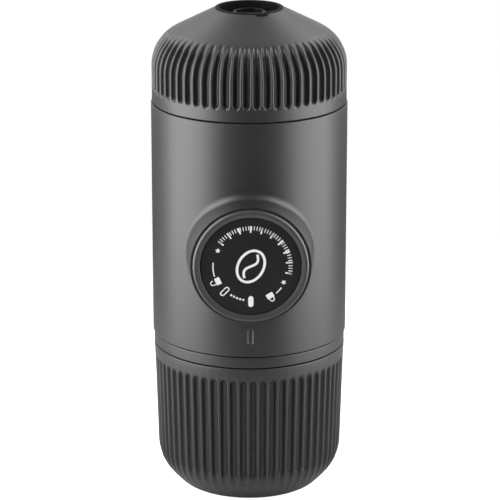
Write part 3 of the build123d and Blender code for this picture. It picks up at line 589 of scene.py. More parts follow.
def spout_plastic(name, tint):
    """Plastic of the spout: black on its hub, with a painted highlight below it: a lighter tone in its
    ports and on its floor that stands in for reflected light.
    """
    material, graph, spot = new_finish(name)
    cloud = noise(graph, spot, 3, 3)
    # Painted highlight: below the hub's top the tone turns from black to a lighter grey that stands in
    # for reflected light.
    hub = graph.split(spot)[2].smooth(*(nozzle_high.z - fall for fall in HUB_EDGE))
    under = bpy.context.scene.espresso_finishes.spout_under
    tone = mix_colours(graph, hub, shade(under, 1.0), shade(tint, 1.0))
    return surfaced(material, graph, tone, 0.3 + cloud * 0.1, cloud, 0.02, 0.08)


def turned_metal(name, tint, roughness, about_pump=False, tone=1.0):
    """Turned or pressed metal, with fine rings round the upright or the pump's axis."""
    material, graph, spot = new_finish(name)
    x, y, z = graph.split(spot)
    across, along = (z - knob_level, y) if about_pump else (y, z)
    radius = (x * x + across * across).root()
    rings = noise(graph, graph.combine(radius, 0.0, along), 0.25, 4, 0.7)
    cloud = noise(graph, spot, 5, 3)
    colours = mix_colours(graph, rings, shade(tint, 0.86 * tone), shade(tint, 1.1 * tone))
    gloss = roughness + rings * 0.12 + cloud * 0.08
    return surfaced(material, graph, colours, gloss, rings, 0.006, metallic=1.0)


# Each finish's maker, its colour in the settings and what the maker takes after it.
FINISHES = {
    "case_plastic": (moulded, "case", 0.43, 0.45, 0.012),
    "knob_plastic": (moulded, "knob", 0.36, 0.35, 0.008),
    "dial_black": (moulded, "dial", 0.42, 0.3, 0.006, 0.36),
    "dial_ink": (clouded, "ink", (0.8, 3), (0.8, 3), (0.94, 1.0), (0.5, 0.1, 0.0), 0.01),
    "spout_black": (spout_plastic, "spout"),
    "liner_black": (polished, "spout", 0.4, 0.02),
    "inner_plastic": (moulded, "inner", 0.5, 0.6, 0.02),
    "tank_plastic": (polished, "tank", 0.22),
    "steel": (turned_metal, "steel", 0.2),
    "pump_steel": (turned_metal, "steel", 0.14, True),
    "screw_steel": (turned_metal, "steel", 0.26, False, 0.85),
    "spring_steel": (
        clouded, "steel", (3, 3), (0.15, 3), (0.75, 1.0), (0.24, 0.2, 0.0), 0.004, 0.5, 1.0
    ),
    "silicone": (clouded, "silicone", (4, 2), (0.3, 4), (0.85, 1.35), (0.62, 0.0, 0.2), 0.01),
}
made_finishes = {}


def finish(name):
    """Material of this name, made when it is first asked for."""
    if name not in made_finishes:
        maker, tint, *rest = FINISHES[name]
        tint = getattr(bpy.context.scene.espresso_finishes, tint)
        made_finishes[name] = maker(name, tint, *rest)
    return made_finishes[name]


# ---------------------------------------------------------------- fluted shells
# Share of half a pitch at which a flute's wall stands, and how much the columns crowd there.
WALL_PLACE = 0.55
WALL_CROWDING = 0.82
# Fall of the ribs from their middle, before their edges are softened.
RIB_SLOPE = 1.2
# How far the fine rows reach past a flute's round end, outside and inside it.
SEAM_MARGINS = (0.6 * MM, 0.3 * MM)


def fluted_shell_group():
    """Group that turns an outline round the upright axis and presses flutes into it.

    The outline's points carry their outward direction and their place along the outline.
    """
    floats = "Width Depth Softness Seam Seam_runout Corner Corner_fade Way Phase"
    graph = new_group("fluted_shell", Int="Flutes Columns", Float=floats, Material="Material")
    given = graph.given
    settings = {"component": "MESH"}
    rows = graph.node("GeometryNodeAttributeDomainSize", settings, {0: given("Geometry")})
    columns = given("Flutes") * given("Columns")
    inputs = {"Size X": 1.0, "Size Y": 1.0, "Vertices X": columns + 1, "Vertices Y": rows}
    grid = graph.node("GeometryNodeMeshGrid", None, inputs)
    grid_x, grid_y, _ = graph.split(graph.node("GeometryNodeInputPosition"))
    column = ((grid_x + 0.5) * columns).maths("ROUND")
    row = ((grid_y + 0.5) * (rows - 1)).maths("ROUND")

    def sampled(kind, value):
        inputs = {"Geometry": given("Geometry"), "Value": value, "Index": row}
        return graph.node("GeometryNodeSampleIndex", {"data_type": kind, "domain": "POINT"}, inputs)

    def carried(kind, name):
        settings = {"data_type": kind}
        value = graph.node("GeometryNodeInputNamedAttribute", settings, {"Name": name})
        return sampled(kind, value)

    radius, _, level = graph.split(sampled("FLOAT_VECTOR", graph.node("GeometryNodeInputPosition")))
    out_x, _, out_z = graph.split(carried("FLOAT_VECTOR", "outward"))
    along = carried("FLOAT", "along")

    # The columns crowd at the flutes' walls.
    flute = column / given("Columns")
    place_in = flute.maths("FRACT") * 2 - 1
    from_middle = abs(place_in)
    crowded = (2 * math.pi * (from_middle - WALL_PLACE)).maths("SINE")
    crowded = crowded + math.sin(2 * math.pi * WALL_PLACE)
    from_middle = from_middle - crowded * (WALL_CROWDING / (2 * math.pi))
    in_flutes = flute.maths("FLOOR") + (from_middle * place_in.maths("SIGN") + 1) / 2
    turn = in_flutes / given("Flutes") * (2 * math.pi) + given("Phase")
    across = from_middle * radius * math.pi / given("Flutes")

    # A flute is a round-bottomed bowl that closes at its seam end and fades on the corner.
    half = given("Width") / 2
    closing = ((given("Seam") - along) * given("Way") / given("Seam runout")).above(0.0)
    fading = ((along - given("Corner")) * given("Way") / given("Corner fade")).above(0.0)
    share = across / half
    reach = (share * share + closing * closing).root()
    bowl = (1 - reach * reach).above(0.0).root()
    sunk = given("Depth") * (bowl - fading) - (reach - 1).above(0.0) * half * RIB_SLOPE
    soft = given("Softness")
    cut = (sunk + (sunk * sunk + soft * soft).root()) / 2

    cut_radius = radius - out_x * cut
    flat = [cut_radius * turn.maths(way) for way in ("COSINE", "SINE")]
    inputs = {"Geometry": grid, "Position": graph.combine(*flat, level - out_z * cut)}
    shell = graph.node("GeometryNodeSetPosition", None, inputs)
    shell = graph.node("GeometryNodeMergeByDistance", None, {"Geometry": shell, "Distance": 1e-6})
    return graph.finished(graph.node("GeometryNodeSetShadeSmooth", None, {"Geometry": shell}))


def length_at(points, level):
    """Length along an outline, from its first point to where it first passes a level."""
    total = 0.0
    for start, end in zip(points, points[1:]):
        run = (end - start).length
        if (start.y - level) * (end.y - level) <= 0 and start.y != end.y:
            return total + run * abs((level - start.y) / (end.y - start.y))
        total += run
    raise ValueError(f"the outline doesn't pass level {level}")


def fluted_shell(name, outer, inner, foot):
    """Piece turned from its outer and inner outlines, with the flutes of its name in its outside.

    The outlines' levels are given over the foot.
    """
    flutes = bpy.context.scene.espresso_flutes

    def own(setting):
        return getattr(flutes, f"{name}_{setting}")

    way = 1.0 if own("corner") > own("seam") else -1.0
    seam, corner = own("seam") - foot, own("corner") - foot
    outside, inside = SEAM_MARGINS
    zones = (
        sorted((seam - way * flutes.seam_runout - way * outside, seam + way * inside)),
        sorted((corner, corner + way * own("fade"))),
    )
    points = stepped(rounded(outer, closed=False), zones)
    points += spaced(rounded(inner, closed=False, turn_step=math.radians(15)), 8 * MM)[1:]
    points = [Vector((p.x, p.y + foot)) for p in points]

    mesh = bpy.data.meshes.new(name)
    mesh.from_pydata([(p.x, 0, p.y) for p in points], [], [])
    outward, along = [], []
    for i, point in enumerate(points):
        before = points[max(i - 1, 0)]
        heading = (points[min(i + 1, len(points) - 1)] - before).normalized()
        outward += (heading.y, 0, -heading.x)
        along.append((point - before).length + (along[-1] if along else 0))
    mesh.attributes.new("outward", "FLOAT_VECTOR", "POINT").data.foreach_set("vector", outward)
    mesh.attributes.new("along", "FLOAT", "POINT").data.foreach_set("value", along)
    values = {
        "Flutes": flutes.count,
        "Columns": flutes.columns,
        "Width": flutes.width,
        "Depth": flutes.depth,
        "Softness": own("softness"),
        "Seam": length_at(points, own("seam")),
        "Seam runout": flutes.seam_runout,
        "Corner": length_at(points, own("corner")),
        "Corner fade": own("fade"),
        "Way": way,
        "Phase": own("phase") - math.pi / 2,
        "Material": finish("case_plastic"),
    }
    return run_group(new_piece(name, mesh), fluted_shell_group(), values)


def bowl_corner(rim, lean, flat, turn):
    """Where a bowl's side, which leans from its rim, would meet its slope from the flat."""
    side = Vector((math.sin(lean), math.cos(lean)))
    slope = Vector((math.sin(turn), math.cos(turn)))
    return rim + side * ((flat - rim).cross(slope) / side.cross(slope))


class ESPRESSO_OT_dome(bpy.types.Operator):
    """Make the fluted dome over the portafilter"""

    bl_idname = "espresso.dome"
    bl_label = "Dome"

    def execute(self, context):
        sizes = context.scene.espresso_shells
        rim, wall, height = dome_high.x, sizes.dome_wall, sizes.dome_height
        slope_wall = wall / math.sin(sizes.dome_turn)

        def shoulder(radius, under):
            """Where the side of this radius meets the slope that starts this far under the top."""
            # The dome is drawn base up, so that its side and slope meet as the cup's do.
            flat = Vector((sizes.opening_radius, under))
            corner = bowl_corner(Vector((radius, -height)), 0.0, flat, sizes.dome_turn)
            return corner.x, height - corner.y

        inner_top = (sizes.opening_radius, height - slope_wall, 0)
        outer = [
            (rim - wall, 0, 0),
            (rim, 0, sizes.edge),
            (*shoulder(rim, 0), sizes.dome_shoulder),
            (sizes.opening_radius, height, sizes.opening_lip),
            inner_top,
        ]
        inner = [
            inner_top,
            (*shoulder(rim - wall, slope_wall), sizes.dome_shoulder - wall),
            (rim - wall, 0, 0),
        ]
        piece = fluted_shell("dome", outer, inner, dome_low.z)
        place(piece, "portafilter", "case_plastic", finish("case_plastic"), "portafilter_dome")
        return {"FINISHED"}


class ESPRESSO_OT_cup(bpy.types.Operator):
    """Make the fluted drinking cup"""

    bl_idname = "espresso.cup"
    bl_label = "Cup"

    inner_edge = 0.2 * MM
    # What the inner base is wider than an even wall would make it.
    base_gain = 0.1 * MM

    def execute(self, context):
        sizes = context.scene.espresso_shells
        wall, lean, turn = sizes.cup_wall, sizes.cup_lean, sizes.cup_turn
        rim = Vector((shell_high.x - sizes.cup_inset, cup_high.z))
        corner = bowl_corner(rim, lean, Vector((sizes.cup_base, 0)), turn)
        inner_rim = Vector((rim.x - wall / math.cos(lean), cup_high.z))
        inner_base = sizes.cup_base - wall * math.tan(turn / 2) + self.base_gain
        inner_corner = bowl_corner(inner_rim, lean, Vector((inner_base, wall)), turn)
        outer = [
            (0, 0, 0),
            (sizes.cup_base, 0, sizes.cup_base_rounding),
            (*corner, sizes.cup_corner),
            (*rim, sizes.edge),
            (*inner_rim, 0),
        ]
        inner = [
            (*inner_rim, self.inner_edge),
            (*inner_corner, sizes.cup_corner - wall),
            (inner_base, wall, sizes.cup_base_rounding),
            (0, wall, 0),
        ]
        piece = fluted_shell("cup", outer, inner, 0.0)
        place(piece, "cup", "case_plastic", finish("case_plastic"), "drinking_cup")
        return {"FINISHED"}


# ---------------------------------------------------------------- body
def arc_points(centre, radius, first, last, steps=16):
    """Points of an arc, from its first angle to its last."""
    turns = [first + (last - first) * k / steps for k in range(steps + 1)]
    return [centre + turn_by(Vector((radius, 0)), turn) for turn in turns]


def pill_points(half_run, radius):
    """Closed outline of an upright pill round the origin."""
    top = arc_points(Vector((0, half_run)), radius, 0, math.pi)
    return top + arc_points(Vector((0, -half_run)), radius, math.pi, 2 * math.pi)


def on_wall(radius, r, u, z):
    """Point of the case's wall, which is unrolled at its radius, rolled up at the radius r."""
    turn = u / radius
    return Vector((r * math.sin(turn), -r * math.cos(turn), z))


class ESPRESSO_OT_case(bpy.types.Operator):
    """Make the body's case, with the boss that flares up round the knob and the index mark"""

    bl_idname = "espresso.case"
    bl_label = "Case"

    across_cells = 200
    up_cells = 56
    inside_rings = 16
    outside_rings = 46
    lip_rings = 3
    flare_steps = 10
    # Share of the way from the fillet to the case's edge that the first and last ring stand off.
    ring_guard = 0.004
    lip_depth = 1.5 * MM
    lip_turn = math.radians(22)
    # How far the index mark's sides lean outwards for its depth.
    index_slope = 1.6

    def rim_samples(self, radius, low, high):
        """Points round the case's unrolled wall, and whether each is on an upper or lower edge."""
        half = math.pi * radius
        n, m = self.across_cells, self.up_cells
        samples = [(-half + 2 * half * k / n, low, True) for k in range(n + 1)]
        samples += [(half, low + (high - low) * k / m, False) for k in range(1, m)]
        samples += [(half - 2 * half * k / n, high, True) for k in range(n + 1)]
        samples += [(-half, high - (high - low) * k / m, False) for k in range(1, m)]
        return samples

    def flare(self, sizes, radius, boss, front):
        """Ball that rolls between boss and case: its centre, and where it touches each."""
        lean, ball = sizes.boss_lean, sizes.boss_flare
        low, high = front, 0.0
        for _ in range(48):
            station = (low + high) / 2
            reach = sizes.boss_radius + (station - front) * math.tan(lean)
            reach += ball / math.cos(lean)
            centre = boss * reach + Vector((0, station, 0))
            if math.hypot(centre.x, centre.y) > radius + ball:
                low = station
            else:
                high = station
        on_boss = centre - (boss * math.cos(lean) - Vector((0, math.sin(lean), 0))) * ball
        on_case = centre - Vector((centre.x, centre.y, 0)).normalized() * ball
        return centre, on_boss, on_case

    def column(self, sizes, radius, bore, lip, u, z):
        """Points from the case's inner rim over the boss and back to its outer rim, at one sample."""
        wall = radius - sizes.case_wall
        level = Vector((0, 0, knob_level))
        way = math.atan2(z - knob_level, u)
        boss = Vector((math.cos(way), 0, math.sin(way)))
        centre, on_boss, on_case = self.flare(sizes, radius, boss, shell_low.y - sizes.boss_reach)
        inner_u = math.asin(bore * boss.x / wall) * radius
        inner_z = knob_level + bore * boss.z
        points = []
        for k in range(self.inside_rings):
            share = k / self.inside_rings
            spot = (u + (inner_u - u) * share, z + (inner_z - z) * share)
            points.append(on_wall(radius, wall, *spot))
        points.append(on_wall(radius, wall, inner_u, inner_z))
        points += [level + boss * point.x + Vector((0, point.y, 0)) for point in lip]
        first, touch = points[-1], level + on_boss
        points += [first.lerp(touch, k / self.lip_rings) for k in range(1, self.lip_rings + 1)]
        start, end = ((spot - centre).normalized() for spot in (on_boss, on_case))
        for k in range(1, self.flare_steps + 1):
            points.append(level + centre + start.slerp(end, k / self.flare_steps) * sizes.boss_flare)
        case_u = math.atan2(on_case.x, -on_case.y) * radius
        case_z = on_case.z + knob_level
        shares = [k / self.outside_rings for k in range(1, self.outside_rings)]
        for share in [self.ring_guard] + shares + [1 - self.ring_guard, 1.0]:
            spot = (case_u + (u - case_u) * share, case_z + (z - case_z) * share)
            points.append(on_wall(radius, radius, *spot))
        return points

    def index_cutter(self, sizes, radius):
        """Pill with sloping sides that stands in the case's front, where the index mark goes."""
        bm = bmesh.new()
        middle = Vector((0, shell_low.z + sizes.index_level))
        rows = []
        for sunk in (-sizes.index_depth, sizes.index_depth):
            outline = pill_points(sizes.index_run, sizes.index_radius - sunk * self.index_slope)
            flat = [point + middle for point in outline]
            rows.append([bm.verts.new((p.x, sunk - radius, p.y)) for p in flat])
        closed_tube(bm, rows)
        return new_piece("index_cutter", finished_mesh("index_cutter", bm))

    def engrave(self, piece, cutter):
        """Cut the cutter out of the piece's own mesh, and take the cutter away."""
        modifier = piece.modifiers.new("engrave", "BOOLEAN")
        modifier.solver = "EXACT"
        modifier.object = cutter
        own_mesh(piece)
        piece.data.set_sharp_from_angle(angle=SHARP)
        bpy.data.objects.remove(cutter)

    def execute(self, context):
        sizes = context.scene.espresso_shells
        radius = shell_high.x
        wall = radius - sizes.case_wall
        bore = context.scene.espresso_knob.radius + sizes.knob_gap
        edge = sizes.edge
        front, depth = shell_low.y - sizes.boss_reach, self.lip_depth
        low, high = shell_low.z + edge, shell_high.z - edge
        samples = self.rim_samples(radius, low, high)
        corners = [
            (bore, front + depth, 0),
            (bore, front, sizes.boss_lip),
            (sizes.boss_radius, front, sizes.boss_lip),
            (sizes.boss_radius + depth * math.tan(sizes.boss_lean), front + depth, 0),
        ]
        lip = rounded(corners, closed=False, turn_step=self.lip_turn)
        bm = bmesh.new()
        grid = []
        for u, z, _ in samples:
            points = self.column(sizes, radius, bore, lip, u, z)
            grid.append([bm.verts.new(point) for point in points])
        corners = [(radius, 0, 0), (radius, edge, edge * 0.999), (wall, edge, 0)]
        rim_rounding = rounded(corners, closed=False, turn_step=self.lip_turn)
        for i, (u, z, ends) in enumerate(samples):
            j = (i + 1) % len(samples)
            for k in range(len(grid[i]) - 1):
                bm.faces.new((grid[i][k], grid[j][k], grid[j][k + 1], grid[i][k + 1]))
            if not (ends and samples[j][2] and samples[j][1] == z):
                continue
            sense = 1 if z == high else -1
            before = (grid[i][-1], grid[j][-1])
            for point in rim_rounding[2:]:
                spots = [on_wall(radius, point.x, samples[k][0], z + sense * point.y) for k in (i, j)]
                after = tuple(bm.verts.new(spot) for spot in spots)
                bm.faces.new((before[0], before[1], after[1], after[0]))
                before = after
            bm.faces.new((before[0], before[1], grid[j][0], grid[i][0]))
        piece = new_piece("case", finished_mesh("case", bm))
        self.engrave(piece, self.index_cutter(sizes, radius))
        place(piece, "main_body", "case_plastic", finish("case_plastic"), "body_shell")
        return {"FINISHED"}


class ESPRESSO_OT_collar(bpy.types.Operator):
    """Make the plain ring between the cup and the case"""

    bl_idname = "espresso.collar"
    bl_label = "Collar"

    gap = 0.05 * MM

    def execute(self, context):
        edge = context.scene.espresso_shells.edge
        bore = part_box("water_tank")[1].x + self.gap
        corners = [
            (bore, collar_low.z, 0),
            (collar_high.x, collar_low.z, edge),
            (collar_high.x, collar_high.z, edge),
            (bore, collar_high.z, 0),
        ]
        points = rounded(corners, turn_step=math.radians(18))
        mesh = turned("collar", spaced(points + points[:1], 4 * MM)[:-1], upright, segments=240)
        piece = new_piece("collar", mesh)
        place(piece, "tank", "case_plastic", finish("case_plastic"), "tank_collar")
        return {"FINISHED"}


# ---------------------------------------------------------------- knob
class ESPRESSO_OT_knob(bpy.types.Operator):
    """Make the pump's knob, with its dished rim, skirt and lugs, and its face"""

    bl_idname = "espresso.knob"
    bl_label = "Knob"

    skirt_edge = 0.3 * MM
    opening_edge = 0.12 * MM
    hub_edge = 0.2 * MM
    lug_steps = 6
    face_gap = 0.05 * MM
    face_edge = 0.15 * MM

    def execute(self, context):
        sizes = context.scene.espresso_knob
        front, back = knob_low.y, knob_high.y
        radius = sizes.radius
        plate_end = face_high.y + sizes.front_wall
        hub_end = plate_end + sizes.hub_length
        corners = [
            (radius, back, self.skirt_edge),
            (radius, front, sizes.edge),
            (radius - sizes.edge - self.skirt_edge, front, self.skirt_edge),
            (sizes.face_radius, front + sizes.dish, self.opening_edge),
            (sizes.face_radius, face_high.y, 0),
            (sizes.screw_radius, face_high.y, 0),
            (sizes.screw_radius, hub_end, 0),
            (sizes.hub_radius, hub_end, self.hub_edge),
            (sizes.hub_radius, plate_end, 0),
            (radius - sizes.wall, plate_end, 0),
            (radius - sizes.wall, back, self.skirt_edge),
        ]
        points = rounded(corners)

        def lugs(bm):
            """Add two blocks, each a sector of a ring, at the back of the skirt."""
            inner, outer = radius - sizes.wall / 2, knob_high.z - knob_level
            start = back - sizes.lug_length
            section = ((inner, start), (outer, start), (outer, back), (inner, back))
            for middle in (math.pi / 2, -math.pi / 2):
                loops = []
                for k in range(self.lug_steps + 1):
                    turn = middle + sizes.lug_arc * (k / self.lug_steps - 0.5)
                    way = Vector((math.cos(turn), math.sin(turn), 0))
                    spots = [pump_axis @ (way * r + Vector((0, 0, z))) for r, z in section]
                    loops.append([bm.verts.new(spot) for spot in spots])
                closed_tube(bm, loops)

        mesh = turned("knob", spaced(points + points[:1], 6 * MM)[:-1], pump_axis, extra=lugs)
        piece = new_piece("knob", mesh)
        place(piece, "knob", "knob_plastic", finish("knob_plastic"), "knob_shell")
        rim = sizes.face_radius - self.face_gap
        corners = [
            (0, face_high.y, 0),
            (rim, face_high.y, 0),
            (rim, face_low.y, self.face_edge),
            (0, face_low.y, 0),
        ]
        points = spaced(rounded(corners, closed=False, turn_step=math.radians(18)), 3 * MM)
        face = new_piece("dial", turned("dial", points, pump_axis, closed=False))
        place(face, "knob", "dial_black", finish("dial_black"), "knob_face")
        return {"FINISHED"}


# ---------------------------------------------------------------- dial marks
def star_points(outer, inner):
    """Closed outline of a star with five tips."""
    turns = [math.pi / 2 + math.pi * k / 5 for k in range(10)]
    return [turn_by(Vector((inner if k % 2 else outer, 0)), turn) for k, turn in enumerate(turns)]


class Printer:
    """Collects the flat marks of the dial and makes them one thin mesh."""

    def __init__(self, ink):
        self.bm = bmesh.new()
        self.ink = ink

    def spots(self, points, centre, turn):
        """Vertices of a mark, turned and set on the dial."""
        flat = [centre + turn_by(point, turn) for point in points]
        return [self.bm.verts.new((point.x, 0, point.y)) for point in flat]

    def fill(self, outline, centre=Vector((0, 0)), turn=0.0):
        """Filled mark."""
        self.bm.faces.new(self.spots(outline, centre, turn))

    def line(self, path, width, centre=Vector((0, 0)), turn=0.0, closed=False):
        """Line of even width along a path."""
        rows = [[], []]
        count = len(path)
        for i, point in enumerate(path):
            before = path[i - 1] if closed or i else point
            after = path[(i + 1) % count] if closed or i < count - 1 else point
            heading = (after - before).normalized()
            side = Vector((-heading.y, heading.x)) * (width / 2)
            rows[0].append(point + side)
            rows[1].append(point - side)
        left, right = (self.spots(row, centre, turn) for row in rows)
        for i in range(count if closed else count - 1):
            j = (i + 1) % count
            self.bm.faces.new((left[i], left[j], right[j], right[i]))

    def mesh(self, name, lift=(0, 0, 0)):
        """The marks as one mesh, with the ink's thickness towards the front."""
        bmesh.ops.remove_doubles(self.bm, verts=self.bm.verts, dist=1e-7)
        flat = bmesh.ops.extrude_face_region(self.bm, geom=self.bm.faces[:])
        raised = [v for v in flat["geom"] if isinstance(v, bmesh.types.BMVert)]
        bmesh.ops.translate(self.bm, verts=raised, vec=(0, -self.ink, 0))
        bmesh.ops.translate(self.bm, verts=self.bm.verts, vec=lift)
        return finished_mesh(name, self.bm)


def ring_of_marks_group():
    """Group that repeats a mark round the dial's centre, from a first to a last angle."""
    graph = new_group(
        "ring_of_marks", Int="Count", Float="First Last", Vector="Centre", Material="Material"
    )
    given = graph.given
    inputs = {"Count": given("Count"), "Offset": (0.0, 0.0, 0.0)}
    line = graph.node("GeometryNodeMeshLine", None, inputs)
    step = (given("Last") - given("First")) / (given("Count") - 1)
    turn = given("First") + graph.node("GeometryNodeInputIndex") * step
    rotation = graph.combine(0.0, 0.0 - turn, 0.0)
    inputs = {"Points": line, "Instance": given("Geometry"), "Rotation": rotation}
    marks = graph.node("GeometryNodeInstanceOnPoints", None, inputs)
    inputs = {"Geometry": marks, "Translation": given("Centre")}
    return graph.finished(graph.node("GeometryNodeTransform", None, inputs))


class ESPRESSO_OT_marks(bpy.types.Operator):
    """Print the dial: scale, lock marks, pointer pills, stars and a coffee bean"""

    bl_idname = "espresso.marks"
    bl_label = "Dial marks"

    down = -math.pi / 2
    open_turn = math.radians(225)
    dot_turns = (math.radians(257.9), math.radians(236.8))
    star_turns = (math.radians(153.4), math.radians(-27))
    # Each padlock's angle and whether it is open, and the first and last angle of its arrow line.
    padlocks = ((205, True), (302, False))
    lines = ((174, 196), (312, 324))
    # Name, length and width in millimetres of the ticks, and how many small steps apart they stand.
    ticks = (("minor", 1.3, 0.24, 1), ("major", 2.1, 0.46, 4))
    # How far the outer marks and the ticks' ends stand outside the marks' circle.
    outset = 0.3 * MM
    tick_outset = 1.55 * MM
    tick_edge = 0.08 * MM
    # Half of a pill's straight run, and the radius of the filled and the open pill.
    pill_run = 0.95 * MM
    pill_radii = (0.8 * MM, 0.62 * MM)
    pill_line = 0.36 * MM
    star_radii = (0.85 * MM, 0.42 * MM)
    # The padlock's corners from its middle, in millimetres, and its shackle.
    lock_corners = ((-1.15, -1.3), (1.15, -1.3), (1.15, 0.35), (-1.15, 0.35))
    lock_edge = 0.25 * MM
    shackle_radius = 0.68 * MM
    shackle_line = 0.32 * MM
    arrow_line = 0.34 * MM
    dot_radius = 0.34 * MM
    dot_count = 5
    # The bean's half width and height, its tilt, its lines and how far its crease sways.
    bean_size = (3.9 * MM, 5.3 * MM)
    bean_tilt = math.radians(-28)
    bean_lines = (0.8 * MM, 0.75 * MM)
    bean_sway = 1.15 * MM
    bean_steps = (56, 24)

    def padlock(self, printer, way, radius, is_open):
        """Padlock whose top points outwards, with its shackle shut or swung open."""
        centre = turn_by(Vector((radius, 0)), way)
        turn = way - math.pi / 2
        corners = [(x * MM, y * MM, self.lock_edge) for x, y in self.lock_corners]
        printer.fill(rounded(corners), centre, turn)
        foot, loose, middle = (0.3, 0.95, 1.2) if is_open else (0.3, 0.3, 0.75)
        path = arc_points(Vector((0, middle * MM)), self.shackle_radius, 0, math.pi)
        path.insert(0, Vector((self.shackle_radius, loose * MM)))
        path.append(Vector((-self.shackle_radius, foot * MM)))
        printer.line(path, self.shackle_line, centre, turn)

    def bean(self, printer):
        """Coffee bean: an oval with a curved crease."""
        (wide, tall), (round_steps, crease_steps) = self.bean_size, self.bean_steps
        rim_line, crease_line = self.bean_lines
        turns = [2 * math.pi * k / round_steps for k in range(round_steps)]
        oval = [Vector((wide * math.cos(t), tall * math.sin(t))) for t in turns]
        printer.line(oval, rim_line, turn=self.bean_tilt, closed=True)
        shares = [2 * k / crease_steps - 1 for k in range(crease_steps + 1)]
        crease = [Vector((self.bean_sway * math.sin(math.pi * s), s * tall * 0.8)) for s in shares]
        printer.line(crease, crease_line, turn=self.bean_tilt)

    def repeated(self, name, mark, count, first, last):
        """Marks that are one mark, repeated round the dial."""
        piece = new_piece(name, mark)
        centre = Vector((0, face_low.y, knob_level))
        values = {"Count": count, "First": first, "Last": last, "Centre": centre}
        values["Material"] = finish("dial_ink")
        run_group(piece, ring_of_marks_group(), values)
        place(piece, "knob", None, finish("dial_ink"))

    def execute(self, context):
        sizes = context.scene.espresso_knob
        ring = sizes.mark_radius
        printer = Printer(sizes.ink)
        filled, hollow = (pill_points(self.pill_run, radius) for radius in self.pill_radii)
        printer.fill(filled, turn_by(Vector((ring, 0)), self.down))
        centre = turn_by(Vector((ring, 0)), self.open_turn)
        turn = self.open_turn - math.pi / 2
        printer.line(hollow, self.pill_line, centre, turn, closed=True)
        for way in self.star_turns:
            centre = turn_by(Vector((ring, 0)), way)
            printer.fill(star_points(*self.star_radii), centre, way - math.pi / 2)
        for degrees, is_open in self.padlocks:
            self.padlock(printer, math.radians(degrees), ring + self.outset, is_open)
        for first, last in self.lines:
            ends = (math.radians(first), math.radians(last))
            path = arc_points(Vector((0, 0)), ring + self.outset, *ends)
            printer.line(path, self.arrow_line)
        self.bean(printer)
        home = Vector((0, face_low.y, knob_level))
        piece = new_piece("dial_marks", printer.mesh("dial_marks", home))
        place(piece, "knob", None, finish("dial_ink"))

        dot = Printer(sizes.ink)
        middle = Vector((ring - self.outset, 0))
        dot.fill(arc_points(middle, self.dot_radius, 0, 2 * math.pi)[:-1])
        self.repeated("dial_dots", dot.mesh("dial_dots"), self.dot_count, *self.dot_turns)

        for name, tall, wide, share in self.ticks:
            tick = Printer(sizes.ink)
            half = wide / 2 * MM
            start, end = ring + self.tick_outset - tall * MM, ring + self.tick_outset
            corners = ((start, -half), (end, -half), (end, half), (start, half))
            corners = [(*spot, self.tick_edge) for spot in corners]
            tick.fill(rounded(corners, turn_step=math.radians(30)))
            name = f"dial_ticks_{name}"
            number = (sizes.tick_count - 1) // share + 1
            self.repeated(name, tick.mesh(name), number, sizes.tick_first, sizes.tick_last)
        return {"FINISHED"}


# ---------------------------------------------------------------- spout
class ESPRESSO_OT_spout(bpy.types.Operator):
    """Make the spout's black liner, with its flange and tab"""

    bl_idname = "espresso.spout"
    bl_label = "Spout"

    gap = 0.05 * MM
    wall = 0.8 * MM
    # How far the flange's underside stands under the dome's top, and its neck under that.
    sunk = 0.3 * MM
    neck = 0.2 * MM
    flange = 0.35 * MM
    flange_lift = 0.38 * MM
    edge = 0.1 * MM
    bore_edge = 0.25 * MM
    tab_middle = math.radians(-69)
    tab_half_arc = math.radians(11.7)
    tab_reach = 1.0 * MM
    tab_rise = 0.25 * MM
    tab_foot = 0.18 * MM

    def execute(self, context):
        sizes = context.scene.espresso_shells
        outer = sizes.opening_radius - self.gap
        inner = outer - self.wall
        top = dome_low.z + sizes.dome_height - self.sunk
        corners = [
            (outer, liner_low.z, self.edge),
            (outer, top - self.neck, 0),
            (outer + self.flange, top, 0),
            (outer + self.flange, top + self.flange_lift, self.edge),
            (inner, top + self.flange_lift, self.bore_edge),
            (inner, liner_low.z, self.edge),
        ]

        def tab(bm):
            """Add the tab that lies on the dome's slope."""
            slope = math.tan(math.pi / 2 - sizes.dome_turn)
            knee = sizes.opening_radius + sizes.opening_lip
            foot, steps = top + self.tab_foot, 20
            rows = []
            for k in range(steps + 1):
                side = 2 * k / steps - 1
                reach = self.tab_reach * (1 - abs(side) ** 3) ** 0.5
                way = self.tab_middle + side * self.tab_half_arc
                heading = Vector((math.cos(way), math.sin(way), 0))
                end, fall = knee + reach, reach * slope
                corners = [
                    (outer - 0.3 * MM, top - 0.5 * MM, 0),
                    (knee, foot, 0),
                    (end, foot - fall, 0),
                    (end, foot + self.tab_rise * 0.8 - fall, 0.12 * MM),
                    (knee, foot + self.tab_rise, 0.4 * MM),
                    (outer - 0.3 * MM, top + 0.1 * MM, 0),
                ]
                section = rounded(corners, turn_step=math.pi)
                rows.append([bm.verts.new(heading * p.x + Vector((0, 0, p.y))) for p in section])
            closed_tube(bm, rows)

        points = rounded(corners, turn_step=math.radians(18))
        liner = new_piece("liner", turned("liner", points, upright, extra=tab))
        place(liner, "portafilter", "spout_black", finish("liner_black"), "nozzle_ring")
        return {"FINISHED"}


# ---------------------------------------------------------------- inner pieces
class ESPRESSO_OT_inner_finishes(bpy.types.Operator):
    """Give the pieces that come straight from the frame their materials"""

    bl_idname = "espresso.inner_finishes"
    bl_label = "Inner finishes"

    pump_pieces = ("plunger_rod", "knob_screw")

    def execute(self, context):
        for part in frame["record"]["subparts"]:
            name = "pump_steel" if part["node"] in self.pump_pieces else part["material_slot"]
            node = frame["nodes"][part["node"]]
            if not node.material_slots:
                node.data.materials.append(None)
            for slot in node.material_slots:
                slot.material = finish(name)
        return {"FINISHED"}


